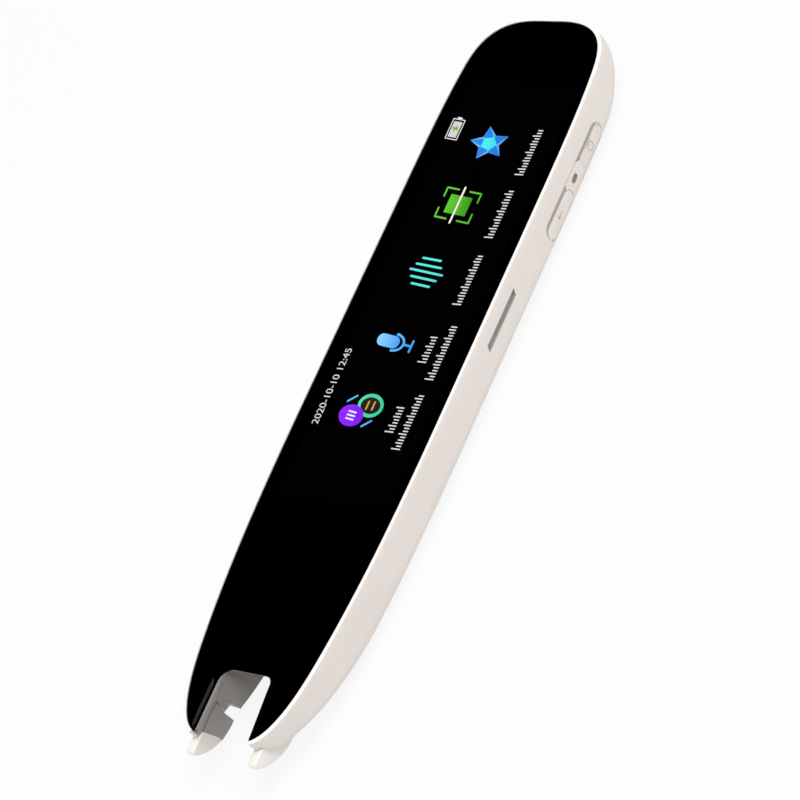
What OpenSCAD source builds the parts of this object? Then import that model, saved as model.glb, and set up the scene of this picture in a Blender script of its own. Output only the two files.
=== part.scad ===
// Handheld translator: a scanning pen with a full-length front glass, two side keys,
// a loudspeaker in its back and a forked scanning nose with two sprung skids.
// It lies on its back: +Z comes out of the screen, +Y points to the charging end,
// +X is the key side. Places along the pen are stations, counted from the top edge of
// the glass, and places near the nose are counted back from the nose end of the glass.

/* [Body] */
// Length of the front glass
glass_len = 151.5; // [146:0.5:165]
// Width of the front glass
glass_w = 32.8; // [31.6:0.2:36]
// Thickness of the body from glass face to back
body_t = 11.8; // [11.6:0.1:13.5]
// White rim that shows round the glass
rim = 0.6; // [0.5:0.05:0.9]
// Side wall thickness of the shell
side_wall = 1.4; // [1.2:0.1:1.6]
// Back wall thickness of the shell
back_wall = 1.9; // [1.7:0.1:2.1]
// Height of the straight part of the side wall
side_h = 7.0; // [6:0.1:7.2]
// Radius between the side wall and the sloping back
shoulder_r = 3.2; // [2.6:0.1:3.6]
// Distance from the side wall in to the ridge of the plateau
ridge_in = 6.2; // [5.6:0.1:6.8]
// Extra distance to the ridge at the waist above the nose
waist_in = 2.5; // [1:0.1:3]
// How much the pen narrows on each side towards its top
top_narrow = 3.0; // [2:0.1:4]
// How much the pen narrows on each side towards its nose
nose_narrow = 5.85; // [5:0.05:6.2]

/* [Glass and screen] */
// Thickness of the front glass
glass_t = 1.0; // [0.8:0.1:1.1]
// Thickness of the black adhesive behind the glass
glue_t = 0.15; // [0.1:0.05:0.25]
// Length of the display
screen_len = 90; // [80:1:94]
// Margin between the display and the side edge of the glass
screen_margin = 3.3; // [3:0.1:4]
// Thickness of the display panel
screen_t = 0.8; // [0.6:0.1:0.9]
// Thickness of the backlight
backlight_t = 0.6; // [0.4:0.1:0.7]

/* [Nose] */
// Width of the scan tunnel between the legs
tunnel_w = 12.6; // [11.6:0.2:13]
// Length of the clear window, from the nose end of the glass
window_len = 13.1; // [12:0.1:14]
// Length of the tunnel at the back, from the nose end of the glass
tunnel_back_len = 17.0; // [16.4:0.1:18]
// Wall thickness of the scan hood
hood_wall = 1.3; // [1.1:0.1:1.5]
// Thickness of a skid
skid_t = 1.8; // [1.5:0.1:1.8]
// Radius of a skid's round edge
skid_r = 10.3; // [9.8:0.1:10.8]
// How far a skid reaches past the nose end of the glass
skid_reach = 3.3; // [3:0.1:3.6]
// How far the skids travel when the nose is pressed
nib_travel = 1.2; // [0.6:0.1:1.2]

/* [Side keys] */
// Length of the key recess
recess_len = 25.2; // [24.8:0.2:27]
// Height of the key recess
recess_h = 4.0; // [3.8:0.1:4.4]
// Depth of the key recess in the side wall
recess_d = 1.1; // [0.9:0.1:1.3]
// Length of the power key
power_len = 9.0; // [8:0.2:9.4]
// Length of the back key
back_len = 10.4; // [9:0.2:10.8]
// Height of the keys
key_h = 2.9; // [2.5:0.1:3]
// How far the keys travel
key_travel = 0.3; // [0.2:0.05:0.35]
// Diameter of the microphone hole
mic_hole_d = 1.2; // [0.8:0.1:1.4]

/* [Back] */
// Length of the sound badge's straight part
badge_len = 22.4; // [21:0.2:24]
// Half width of the sound badge at its top
badge_half = 7.85; // [7.6:0.05:8.1]
// Half width of the brushed panel at its top
panel_half = 8.85; // [8.6:0.05:8.9]
// Thickness of the badge and the panel
panel_t = 0.7; // [0.5:0.1:0.8]
// Width of the white ring round the badge and the panel
ring_w = 0.5; // [0.4:0.05:0.6]
// Width of a sound slot
slot_w = 1.0; // [0.8:0.1:1.2]
// Distance between sound slots
slot_pitch = 2.0; // [1.8:0.1:2.1]
// Diameter of the loudspeaker
speaker_d = 14; // [13:0.2:14.4]

/* [Sockets] */
// Width of the charging socket's mouth
usb_w = 8.94; // [8.9:0.02:9.0]
// Height of the charging socket's mouth
usb_h = 3.26; // [3.2:0.02:3.3]
// Length of the card slot
card_slot_len = 12.1; // [11.6:0.1:12.4]
// Height of the card slot
card_slot_h = 1.2; // [1:0.1:1.25]

/* [Inside] */
// Length of the main board
board_len = 65.6; // [63:0.2:66.6]
// Thickness of the boards
board_t = 0.8; // [0.6:0.1:0.9]
// Width of the battery
battery_w = 22.4; // [20:0.2:22.6]
// Thickness of the battery
battery_t = 5.4; // [4.5:0.1:5.4]
// Diameter of the scan camera's lens barrel
barrel_d = 3.6; // [3.2:0.1:3.7]
// Diameter of the board screws
screw_d = 1.36; // [1.2:0.02:1.4]

/* [Hidden] */

// Smoothness of round parts
$fn = 48;
// Running gap between parts that move on each other
run_gap = 0.1;
// Wider gap round the skids and their arms
slide_gap = 0.2;
// Fitting gap between parts that are glued or set in
set_gap = 0.1;
// Half of the gap round parts that sit in a close pocket
snug_gap = 0.05;
// Room round parts that nothing else guides
free_gap = 0.4;
// Overlap that makes a cut run past a face
past = 1;
// Overlap that joins two solids of one piece
join = 0.01;

// Overall sizes and the stations' frame
body_w = glass_w + 2 * rim;
body_len = glass_len + 2 * rim;
y_top = (glass_len + skid_reach - rim) / 2;
pocket_d = glass_t + glue_t;
// Roof over the legs, under the glass
roof_t = 0.95;
roof_d = pocket_d + roof_t;

function st(s) = y_top - s;
function nose(s) = y_top - glass_len + s;
function dz(d) = body_t - d;

// Outline of the pen from the front
top_round = 12;
nose_round = 17.5;
top_zone = 60;
nose_zone = 71.5;
end_steps = 10;
mid_steps = 16;
// Share of an end's rounding that is kept, so that each end has a short flat
end_keep = 0.997;
top_bow = 3.4;
nose_bow = 3;
nose_root = 5;
top_taper = 6;
nose_taper = 3;

function past_top(s) = max(0, 1 - s / top_zone);
function past_nose(s) = max(0, (s - glass_len + nose_zone) / nose_zone);
function top_end(s) = pow(1 - pow(end_keep * max(0, 1 - s / top_round), top_bow), 1 / top_bow);
function nose_end(s) =
    pow(1 - pow(end_keep * max(0, (s - glass_len + nose_round) / nose_round), nose_bow),
        1 / nose_root);
function narrowed(s) = top_narrow * pow(past_top(s), top_taper)
    + nose_narrow * pow(past_nose(s), nose_taper);
// Half width at a station of the glass's own outline, grown by g on every side
function grown_half(s, g) =
    (glass_w / 2 + g - narrowed(s)) * top_end(s) * nose_end(s);
// The stations of the outline, closer together where the ends turn
STATIONS = concat(
    [for (i = [0:end_steps - 1]) top_round * (1 - cos(90 * i / end_steps))],
    [for (i = [0:mid_steps])
        top_round + (glass_len - top_round - nose_round) * i / mid_steps],
    [for (i = [1:end_steps])
        glass_len - nose_round * (1 - cos(90 * (end_steps - i) / end_steps))]
);
// Station of the glass outline moved to where an outline grown by g has it
function grown_station(s, g) = (s - glass_len / 2) * (glass_len + 2 * g) / glass_len
    + glass_len / 2;
function glass_station(s, g) = (s - glass_len / 2) * glass_len / (glass_len + 2 * g)
    + glass_len / 2;
function body_half(s) = grown_half(glass_station(s, rim), rim);
function outline(g) = concat(
    [for (s = STATIONS) [grown_half(s, g), st(grown_station(s, g))]],
    [for (i = [len(STATIONS) - 1:-1:0])
        [-grown_half(STATIONS[i], g), st(grown_station(STATIONS[i], g))]]
);

// Depth of the back below the glass face, along the middle of the pen
crown_len = 17;
crown_rise = 5.2;
crown_curve = 1.8;
bow_len = 27.5;
bow_rise = 0.01508;
bow_curve = 1.825;
leg_round = 6.5;
leg_keep = 0.98;
leg_bow = 4;

function crown(s) = crown_rise * pow(max(0, (crown_len - s) / crown_len), crown_curve);
function bow(s) = bow_rise * pow(max(0, s - glass_len + bow_len), bow_curve);
function leg_end(s) =
    sqrt(1 - pow(leg_keep * max(0, (s - glass_len + leg_round) / (leg_round + rim)), leg_bow));
function back_depth(s) = (body_t - crown(s) - bow(s)) * leg_end(s);

// How much further in the ridge lies at a station near the waist
waist_at = 27;
waist_span = 20;
function waist(s) =
    waist_in * pow(max(0, 1 - pow((s - glass_len + waist_at) / waist_span, 2)), 2);

// Cross-section: half width, depth and how far the ridge lies in
edge_in = 0.3;
edge_down = 0.35;
shoulder_turn = 68;
shoulder_steps = 5;
ridge_up = 0.43;
flat_up = 0.15;
flat_in = 1.8;
narrow_half = 12;
thinnest = 0.5;
function half_section(h, d, r) = let (
    kx = min(1, h / narrow_half),
    kz = d / body_t
) concat(
    [[h - edge_in * kx, 0], [h, edge_down * kz]],
    [for (i = [0:shoulder_steps]) let (a = shoulder_turn * i / shoulder_steps) [
        h - shoulder_r * kx * (1 - cos(a)),
        kz * (side_h + shoulder_r * sin(a))
    ]],
    [[h - r * kx, kz * (body_t - ridge_up)],
     [h - (r + flat_in / 2) * kx, kz * (body_t - flat_up)],
     [h - (r + flat_in) * kx, d]]
);
function mirrored(points) = concat(
    points,
    [for (i = [len(points) - 1:-1:0]) [-points[i][0], points[i][1]]]
);

// Solid swept through the cross-sections between two ends, g outside the glass outline
// and b off the back
module swept(g, b) {
    rings = [for (s = STATIONS) let (
        at = grown_station(s, g),
        depth = max(thinnest, back_depth(at) - b)
    ) [for (p = mirrored(half_section(grown_half(s, g), depth, ridge_in + waist(at))))
        [p[0], st(at), dz(p[1])]]];
    n = len(rings[0]);
    last = len(rings) - 1;
    sides = [for (i = [0:last - 1], j = [0:n - 1]) each [
        [i * n + j, i * n + (j + 1) % n, (i + 1) * n + j],
        [i * n + (j + 1) % n, (i + 1) * n + (j + 1) % n, (i + 1) * n + j]
    ]];
    caps = [[for (j = [n - 1:-1:0]) j], [for (j = [0:n - 1]) last * n + j]];
    polyhedron([for (ring = rings) each ring], concat(sides, caps));
}

// Prism of a flat shape in X and Y between two depths below the glass face
module plate(d_low, d_high) {
    translate([0, 0, dz(d_low)])
        linear_extrude(d_low - d_high) children();
}

// Prism of a flat shape in Y and Z between two places along X
module x_prism(x0, x1) {
    translate([x0, 0, 0])
        rotate([90, 0, 90]) linear_extrude(x1 - x0) children();
}

// Prism of a flat shape in X and Z between two places along Y
module y_prism(y0, y1) {
    translate([0, y1, 0])
        rotate([90, 0, 0]) linear_extrude(y1 - y0) children();
}

// Block between two corners
module block(low, high) {
    translate(low) cube(high - low);
}

// Flat shape with round ends, long across its first axis
module obround(l, h) {
    square([l - h, h], center = true);
    for (side = [-1, 1])
        translate([side * (l - h) / 2, 0]) circle(d = h);
}

// Flat rectangle with round corners
module round_rect(w, h, r) {
    square([w - 2 * r, h], center = true);
    square([w, h - 2 * r], center = true);
    for (x = [-1, 1], y = [-1, 1])
        translate([x * (w / 2 - r), y * (h / 2 - r)]) circle(r);
}

// Round bar along Y
module y_bar(x, z, y0, y1, d) {
    translate([x, y1, z]) rotate([90, 0, 0]) cylinder(h = y1 - y0, d = d);
}

// Points of a round corner that turns from one heading to the next
corner_steps = 6;
function corner(c, r, a0, a1) = [
    for (i = [0:corner_steps]) let (a = a0 + (a1 - a0) * i / corner_steps)
        c + r * [cos(a), sin(a)]
];

// ---- The scan tunnel and what bounds it ----

tunnel_half = tunnel_w / 2;
// Depth at which the tunnel's length at the back is taken
tunnel_back_d = 10.6;
tunnel_r = 0.8;
function tunnel_len(d) = window_len
    + (tunnel_back_len - window_len) * (d - glass_t) / (tunnel_back_d - glass_t);

// Space between the legs, with its sloping top, grown by g, between two depths
module tunnel(g, d_low, d_high) {
    hull() for (d = [d_low, d_high]) {
        z = dz(d) - (d == d_high ? join : 0);
        for (side = [-1, 1])
            translate([side * (tunnel_half - tunnel_r), nose(tunnel_len(d) - tunnel_r), z])
                cylinder(h = join, r = tunnel_r + g, $fn = 32);
        translate([-tunnel_half - g, nose(-4 * past), z])
            cube([tunnel_w + 2 * g, past, join]);
    }
}

// Opening in the back wall that takes the hood
hood_lip = 1.1;
hood_top = tunnel_back_len + hood_lip;
hood_half = tunnel_half + hood_wall;
hood_corner = 1.9;
hood_r = hood_corner + hood_wall;
slot_top = 9.0;
module u_shape(half, top, r) {
    translate([-half, nose(-4 * past)]) square([2 * half, top - r + 4 * past]);
    translate([-half + r, nose(0)]) square([2 * (half - r), top]);
    for (side = [-1, 1])
        translate([side * (half - r), nose(top - r)]) circle(r);
}

// ---- Skids and their yoke ----

skid_in = tunnel_half + slide_gap;
skid_out = skid_in + skid_t;
slot_half = skid_out + slide_gap;
arm_w = 1.4;
arm_t = 1.6;
arm_in = hood_half + slide_gap;
arm_out = arm_in + arm_w;
arm_high_d = roof_d + 0.3;
arm_low_d = arm_high_d + arm_t;
bar_t = 3;
bar_front = tunnel_len(arm_low_d) + hood_wall + free_gap;
bar_back = bar_front + bar_t;
arm_end = 4.5;
// Depths of a skid's top behind and at its tip, and of the centre of its round edge
skid_top_d = arm_high_d + 0.1;
skid_tip_d = skid_top_d + 0.15;
skid_centre_d = -1.75;
skid_centre = skid_reach - sqrt(pow(skid_r, 2) - pow(skid_tip_d - skid_centre_d, 2));

// ---- Key places ----

recess_s = 18.3;
recess_high_d = 4.4;
recess_low_d = recess_high_d + recess_h;
recess_mid_z = dz((recess_high_d + recess_low_d) / 2);
recess_mid_s = recess_s + recess_len / 2;
key_rim = 0.2;
key_mid_z = dz(recess_low_d - key_rim - key_h / 2);
power_s = recess_s + key_rim + power_len / 2;
back_s = recess_s + recess_len - key_rim - back_len / 2;
bridge_s0 = power_s + power_len / 2 + key_rim;
bridge_s1 = back_s - back_len / 2 - key_rim;
bridge_mid_s = (bridge_s0 + bridge_s1) / 2;
floor_x = body_half(recess_s) - recess_d;
bezel_flange_x = body_half(recess_s) - side_wall - set_gap;
bezel_flange_t = 0.8;
bezel_back_x = bezel_flange_x - bezel_flange_t;
flange_t = 0.6;
key_flange_x = bezel_back_x - run_gap;
switch_face_x = key_flange_x - flange_t - key_travel - snug_gap;
switch_depth = 1.0;
key_board_x = switch_face_x - switch_depth;
key_sink = 0.15;
mic_z = dz(6.1);

// ---- Boards ----

board_top_d = 4.3;
board_low_d = board_top_d + board_t;
board_s0 = 5.2;
board_s1 = board_s0 + board_len;
frame_floor_d = glass_t + screen_t + backlight_t;
frame_floor_t = 0.5;
frame_low_d = frame_floor_d + frame_floor_t;
screen_s0 = 13.5;
screen_s1 = screen_s0 + screen_len;
screen_half = glass_w / 2 - screen_margin;
// The camera sits behind the hood and hangs under the scan board
lens_d = 6.9;
lens_z = dz(lens_d);
barrel_out = 3.1;
camera_s1 = glass_len - tunnel_len(body_t - lens_z + barrel_d / 2) - hood_wall - free_gap
    - barrel_out;
scan_over = 0.5;
scan_len = 16;
scan_s1 = camera_s1 + scan_over;
scan_s0 = scan_s1 - scan_len;
battery_room = 2.0;
battery_s0 = board_s1 + battery_room;
battery_end_room = 1.5;
battery_s1 = scan_s0 - battery_end_room;
tape_t = 0.3;
battery_top_d = frame_low_d + tape_t;
usb_mid_d = board_top_d + snug_gap;
frame_end = glass_len - hood_top - free_gap - set_gap;

// ---- Solids that several pieces share ----

module body_solid() {
    swept(rim, 0);
}

module shell_cavity() {
    difference() {
        swept(rim - side_wall, back_wall);
        block([-body_w, nose(-past), dz(roof_d)],
              [body_w, nose(glass_len - frame_end - set_gap), body_t + past]);
    }
}

module glass_shape(gap) {
    polygon(outline(-gap));
}

// ---- Front: glass, display and frame ----

// Cover glass, one piece from end to end, that bridges the two legs
module front_glass() {
    color("black") plate(glass_t, 0) glass_shape(snug_gap);
}

// Black adhesive that bonds the glass to its ledge and frame
glue_in = 0.2;
module glass_adhesive() {
    color("dimgray") difference() {
        plate(pocket_d, glass_t) glass_shape(glue_in);
        block([-screen_half - glue_in, st(screen_s1 + glue_in), dz(pocket_d + past)],
              [screen_half + glue_in, st(screen_s0 - glue_in), body_t]);
        tunnel(glue_in, pocket_d + past, glass_t - past);
    }
}

// Display panel under the glass
module display_panel() {
    color("darkslategray")
        block([-screen_half, st(screen_s1), dz(glass_t + screen_t)],
              [screen_half, st(screen_s0), dz(glass_t)]);
}

// Backlight with its steel tray
module backlight() {
    color("silver")
        block([-screen_half, st(screen_s1), dz(frame_floor_d)],
              [screen_half, st(screen_s0), dz(glass_t + screen_t)]);
}

// Ribbon that leaves the display at its top end and folds back on to the main board
flex_t = 0.15;
flex_half = 6;
flex_bend = 1.9;
flex_tail = 2.5;
module display_flex() {
    top_d = glass_t + screen_t + backlight_t / 3;
    color("orange") x_prism(-flex_half, flex_half) {
        translate([st(screen_s0), dz(top_d + flex_t)]) square([flex_bend, flex_t]);
        translate([st(screen_s0 - flex_bend), dz(board_top_d)])
            square([flex_t, board_top_d - top_d]);
        translate([st(screen_s0 + flex_tail), dz(board_top_d)])
            square([flex_bend + flex_tail, flex_t]);
    }
}

// Frame under the glass: a ring with a floor behind the display, and screw bosses
boss_d = 3.0;
boss_in = 4.9;
boss_key_in = 6.6;
boss_s = [8, 38, 66];
boss_key_s = 52;
scan_boss_x = 6.3;
scan_boss_s = [8.5, 12.5];
module screw_places() {
    for (s = boss_s)
        translate([boss_in - glass_w / 2, st(s), 0]) children();
    translate([glass_w / 2 - boss_key_in, st(boss_key_s), 0]) children();
    for (i = [0, 1])
        translate([(2 * i - 1) * scan_boss_x, st(scan_s1 - scan_boss_s[i]), 0]) children();
}

module mid_frame() {
    gap = side_wall - rim + set_gap;
    color("gray") difference() {
        union() {
            difference() {
                plate(frame_low_d, pocket_d) glass_shape(gap);
                block([-body_w, nose(-past), 0],
                      [body_w, nose(glass_len - frame_end), body_t + past]);
            }
            screw_places() translate([0, 0, dz(board_top_d)])
                cylinder(h = board_top_d - frame_low_d + frame_floor_t / 2, d = boss_d);
        }
        block([-screen_half - set_gap, st(screen_s1 + set_gap), dz(frame_floor_d)],
              [screen_half + set_gap, st(screen_s0 - set_gap), body_t]);
        nose_relief();
        block([-usb_w / 2 - free_gap, st(usb_len + free_gap), 0],
              [usb_w / 2 + free_gap, st(-past), dz(usb_mid_d - usb_h / 2 - set_gap)]);
        block([-flex_half - free_gap, st(screen_s0 + set_gap), 0],
              [flex_half + free_gap, st(screen_s0 - flex_bend - free_gap), body_t]);
        screw_places() translate([0, 0, dz(board_top_d) - past])
            cylinder(h = board_top_d - frame_low_d + past, d = screw_d + 2 * join);
    }
}

// Thinner part of the frame over the yoke, its switch and its spring
module nose_relief() {
    block([-body_w, st(frame_end + past), dz(frame_low_d + past)],
          [body_w, nose(bar_back + spring_len + seat_t + free_gap), dz(roof_d)]);
}

// ---- Back: shell, hood, inlay ----

// One-piece white shell: sides, back and the two legs
module body_shell() {
    color("ivory") difference() {
        body_solid();
        plate(pocket_d, -past) glass_shape(0);
        shell_cavity();
        nose_opening();
        inlay_recess();
        key_opening();
        sockets_opening();
    }
}

module nose_opening() {
    tunnel(0, body_t + past, 0);
    plate(body_t + past, roof_d) u_shape(hood_half + set_gap, hood_top + set_gap, hood_r);
    for (side = [-1, 1])
        leg_slot(side);
}

// Slot in a leg for one skid and its arm
module leg_slot(side) {
    x0 = tunnel_half;
    arm_slot = arm_out + slide_gap;
    block([side > 0 ? x0 : -slot_half, nose(-4 * past), -past],
          [side > 0 ? slot_half : -x0, nose(slot_top), dz(roof_d)]);
    block([side > 0 ? x0 : -arm_slot, nose(arm_end - slide_gap), dz(arm_low_d + slide_gap)],
          [side > 0 ? arm_slot : -x0, nose(slot_top), dz(roof_d)]);
}

module inlay_recess() {
    plate(body_t + past, body_t - inlay_t - snug_gap)
        inlay_shape(ring_w + set_gap);
    at_speaker(-past) cylinder(h = back_wall + 2 * past, d = speaker_d - 2 * speaker_lip);
    at_speaker(back_wall)
        cylinder(h = gasket_t + cup_h, d = speaker_d + 2 * free_gap);
}

module key_opening() {
    translate([0, st(recess_mid_s), recess_mid_z])
        x_prism(switch_face_x - set_gap, body_w) obround(recess_len, recess_h);
}

usb_gap = 0.1;
card_s = 62.55;
card_h = 1.35;
card_mid_d = board_top_d - card_h / 2;
module sockets_opening() {
    translate([0, 0, dz(usb_mid_d)])
        y_prism(st(usb_len), st(-past - rim))
            obround(usb_w + 2 * usb_gap, usb_h + 2 * usb_gap);
    translate([0, st(card_s), dz(card_mid_d)])
        x_prism(body_w / 2 - side_wall - past, body_w)
            square([card_slot_len, card_slot_h], center = true);
}

// Hood that lines the scan tunnel and carries the lens window
window_d = 3.0;
led_x = 5.0;
led_d = 1.6;
led_z = dz(6.4);
guide_gap = 0.1;
module scan_hood() {
    color("whitesmoke") difference() {
        intersection() {
            body_solid();
            hood_block();
        }
        tunnel(0, body_t + past, roof_d - past);
        y_bar(0, lens_z, nose(0), nose(hood_top + past), window_d);
        for (side = [-1, 1])
            y_bar(side * led_x, led_z, nose(0), nose(hood_top + past), led_d + 2 * guide_gap);
    }
}

module hood_block() {
    difference() {
        intersection() {
            tunnel(hood_wall, body_t + past, roof_d);
            plate(body_t + past, roof_d - past) u_shape(hood_half, hood_top, hood_r);
        }
        block([-body_w, nose(-5 * past), -2 * past], [body_w, nose(slot_top), body_t]);
    }
}

// Outline of the badge and panel together, grown by g
badge_s = 12.2;
badge_r = 4.5;
panel_gap = 0.5;
panel_s0 = badge_s + badge_len;
panel_nose = 27.5;
panel_bend_len = 15;
panel_s1 = glass_len - panel_nose;
panel_r = 3;
panel_bend_s = panel_s1 - panel_bend_len;
panel_bend_half = panel_half - 0.45;
panel_end_half = panel_half - 1.35;
panel_lean = 8;

module panel_shape(g) {
    right = concat(
        corner([panel_half - panel_r, st(panel_s0 + panel_r)], panel_r + g, 90, 0),
        [[panel_bend_half + g, st(panel_bend_s)]],
        corner([panel_end_half - panel_r, st(panel_s1 - panel_r)], panel_r + g, -panel_lean, -90)
    );
    polygon(mirrored(right));
}

badge_low_half = panel_half - 0.3;
module badge_shape(g) {
    low = st(panel_s0 + panel_r / 2);
    right = concat(
        corner([badge_half - badge_r, st(badge_s + badge_r)], badge_r + g, 90, 0),
        [[badge_low_half + g, low], [panel_half - panel_r, low]]
    );
    polygon(mirrored(right));
}

module inlay_shape(g) {
    panel_shape(g);
    badge_shape(g);
}

// White tray that holds the badge and the brushed panel, flush with the back
inlay_t = 1.05;
module inlay_frame() {
    color("white") difference() {
        plate(body_t, body_t - inlay_t) inlay_shape(ring_w);
        plate(body_t + past, body_t - panel_t) panel_shape(snug_gap);
        plate(body_t + past, body_t - panel_t) difference() {
            badge_shape(snug_gap);
            panel_shape(panel_gap);
        }
        at_speaker(0) cylinder(h = inlay_t + past, d = mesh_d + set_gap);
    }
}

// Brushed metal panel
module brushed_panel() {
    color("gainsboro") plate(body_t, body_t - panel_t) panel_shape(0);
}

// Gloss black badge with seven slanted sound slots
slot_lens = [5.0, 6.4, 8.2, 10.0, 7.6, 6.8, 4.4];
slot_slant = 0.35;
module sound_badge() {
    color("black") difference() {
        plate(body_t, body_t - panel_t) difference() {
            badge_shape(0);
            panel_shape(panel_gap + snug_gap);
        }
        plate(body_t + past, body_t - panel_t - past) sound_slots();
    }
}

module sound_slots() {
    n = len(slot_lens);
    for (i = [0:n - 1])
        translate([(i - (n - 1) / 2) * slot_pitch, st(speaker_s)])
            polygon([
                [-slot_w / 2, -slot_lens[i] / 2 - slot_slant],
                [slot_w / 2, -slot_lens[i] / 2 + slot_slant],
                [slot_w / 2, slot_lens[i] / 2 + slot_slant],
                [-slot_w / 2, slot_lens[i] / 2 - slot_slant]
            ]);
}

// ---- Loudspeaker ----

speaker_s = 22.2;
mesh_d = speaker_d + 0.6;
mesh_t = 0.15;
gasket_t = 0.35;
cup_h = 2.4;
speaker_lip = 0.3;
gasket_w = 1.2;

module at_speaker(z) {
    translate([0, st(speaker_s), z]) children();
}

// Fine metal mesh behind the slots
module speaker_mesh() {
    color("darkgray") at_speaker(panel_t) cylinder(h = mesh_t, d = mesh_d);
}

// Foam ring between the shell and the loudspeaker
module speaker_gasket() {
    color("black") at_speaker(back_wall) difference() {
        cylinder(h = gasket_t, d = speaker_d + free_gap);
        translate([0, 0, -past])
            cylinder(h = gasket_t + 2 * past, d = speaker_d + free_gap - 2 * gasket_w);
    }
}

// Pressed basket of the loudspeaker
basket_wall = 0.4;
module speaker_frame() {
    color("silver") at_speaker(back_wall + gasket_t) difference() {
        cylinder(h = cup_h, d = speaker_d);
        translate([0, 0, -past])
            cylinder(h = cup_h - basket_wall + past, d = speaker_d - 2 * basket_wall);
    }
}

// Domed cone on the basket's open side, as distances out and heights above its rim
cone_t = 0.2;
cone_rise = 0.1;
cone_line = [[0, 0.55], [0.45, 0.25], [0.75, 0.5], [1, 0]];
module speaker_cone() {
    r = speaker_d / 2 - basket_wall - 2 * join;
    color("dimgray") at_speaker(back_wall + gasket_t + cone_rise) rotate_extrude() polygon(concat(
        [for (p = cone_line) [r * p[0], p[1]]],
        [for (i = [len(cone_line) - 1:-1:0]) [r * cone_line[i][0], cone_line[i][1] + cone_t]]
    ));
}

// Magnet on the floor of the basket
magnet_h = 1.0;
module speaker_magnet() {
    color("dimgray") at_speaker(back_wall + gasket_t + cup_h - basket_wall - magnet_h)
        cylinder(h = magnet_h, d = speaker_d * 0.55);
}

// ---- Main board and what it carries ----

// Main board, notched for the charging socket and kept off the keys
module main_board() {
    color("seagreen") difference() {
        intersection() {
            plate(board_low_d, board_top_d) glass_shape(side_wall - rim + free_gap);
            block([-body_w, st(board_s1), 0],
                  [key_board_x - key_board_t - slide_gap, st(board_s0), body_t]);
        }
        block([-usb_w / 2 - usb_gap, st(usb_len + slide_gap), 0],
              [usb_w / 2 + usb_gap, st(-past), body_t]);
        screw_places() cylinder(h = body_t, d = screw_d + 2 * set_gap);
    }
}

can_s0 = 34;
can_len = 16;
can_w = 17;
can_h = 1.3;
can_t = 0.15;
chip_w = 11;
chip_t = 0.8;
// Processor under the shield
module processor() {
    mid_s = can_s0 + can_len / 2;
    color("black")
        block([-chip_w / 2, st(mid_s + chip_w / 2), dz(board_low_d + chip_t)],
              [chip_w / 2, st(mid_s - chip_w / 2), dz(board_low_d)]);
}

// Pressed steel shield over the processor
module shield_can() {
    color("silver") difference() {
        block([-can_w / 2, st(can_s0 + can_len), dz(board_low_d + can_h)],
              [can_w / 2, st(can_s0), dz(board_low_d)]);
        block([-can_w / 2 + can_t, st(can_s0 + can_len - can_t),
               dz(board_low_d + can_h - can_t)],
              [can_w / 2 - can_t, st(can_s0 + can_t), dz(board_low_d - past)]);
    }
}

memory_s0 = 54;
memory_len = 10;
memory_w = 12;
// Storage chip
module memory_chip() {
    color("black")
        block([-memory_w / 2, st(memory_s0 + memory_len), dz(board_low_d + chip_t)],
              [memory_w / 2, st(memory_s0), dz(board_low_d)]);
}

usb_len = 7.3;
usb_wall = 0.3;
usb_s = 1.2;
tongue_w = 6.7;
tongue_t = 0.7;
tongue_in = 0.6;
// Drawn steel shell of the charging socket
module usb_socket() {
    color("silver") translate([0, 0, dz(usb_mid_d)]) difference() {
        y_prism(st(usb_len), st(usb_s)) obround(usb_w, usb_h);
        y_prism(st(usb_len - usb_wall), st(usb_s - past))
            obround(usb_w - 2 * usb_wall, usb_h - 2 * usb_wall);
    }
}

// Contact tongue in the charging socket
module usb_tongue() {
    color("black") translate([0, 0, dz(usb_mid_d)])
        y_prism(st(usb_len - usb_wall), st(usb_s + tongue_in))
            square([tongue_w, tongue_t], center = true);
}

card_len = 13.5;
card_w = 13.6;
card_in_w = 11.4;
card_in_h = 0.9;
card_wall = 0.5;
// Card socket behind the side slot, open towards it
module card_socket() {
    x1 = body_half(card_s) - side_wall - set_gap - snug_gap;
    color("silver") translate([0, st(card_s), dz(card_mid_d)]) difference() {
        x_prism(x1 - card_len, x1) square([card_w, card_h], center = true);
        x_prism(x1 - card_len + card_wall, x1 + past)
            square([card_in_w, card_in_h], center = true);
    }
}

// ---- Battery ----

// Pouch cell
battery_r = 2.1;
module battery() {
    mid_z = dz(battery_top_d + battery_t / 2);
    color("lightsteelblue") translate([0, 0, mid_z])
        y_prism(st(battery_s1), st(battery_s0)) round_rect(battery_w, battery_t, battery_r);
}

// Foam tape between the cell and the frame
tape_half = 8;
tape_in = 1;
module battery_tape() {
    color("gray")
        block([-tape_half, st(min(battery_s1, screen_s1) - tape_in), dz(battery_top_d)],
              [tape_half, st(battery_s0 + tape_in), dz(frame_low_d)]);
}

// Welded lead from the cell to the main board
lead_x = -9.5;
lead_w = 5;
lead_t = 0.2;
lead_lap = 3;
module battery_lead() {
    color("orange")
        block([lead_x, st(battery_s0), dz(board_low_d + lead_t)],
              [lead_x + lead_w, st(board_s1 - lead_lap), dz(board_low_d)]);
}

// ---- Scanner ----

scan_board_half = 8;
// Board over the camera
module scan_board() {
    color("seagreen") difference() {
        block([-scan_board_half, st(scan_s1), dz(board_low_d)],
              [scan_board_half, st(scan_s0), dz(board_top_d)]);
        screw_places() cylinder(h = body_t, d = screw_d + 2 * set_gap);
    }
}

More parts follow.
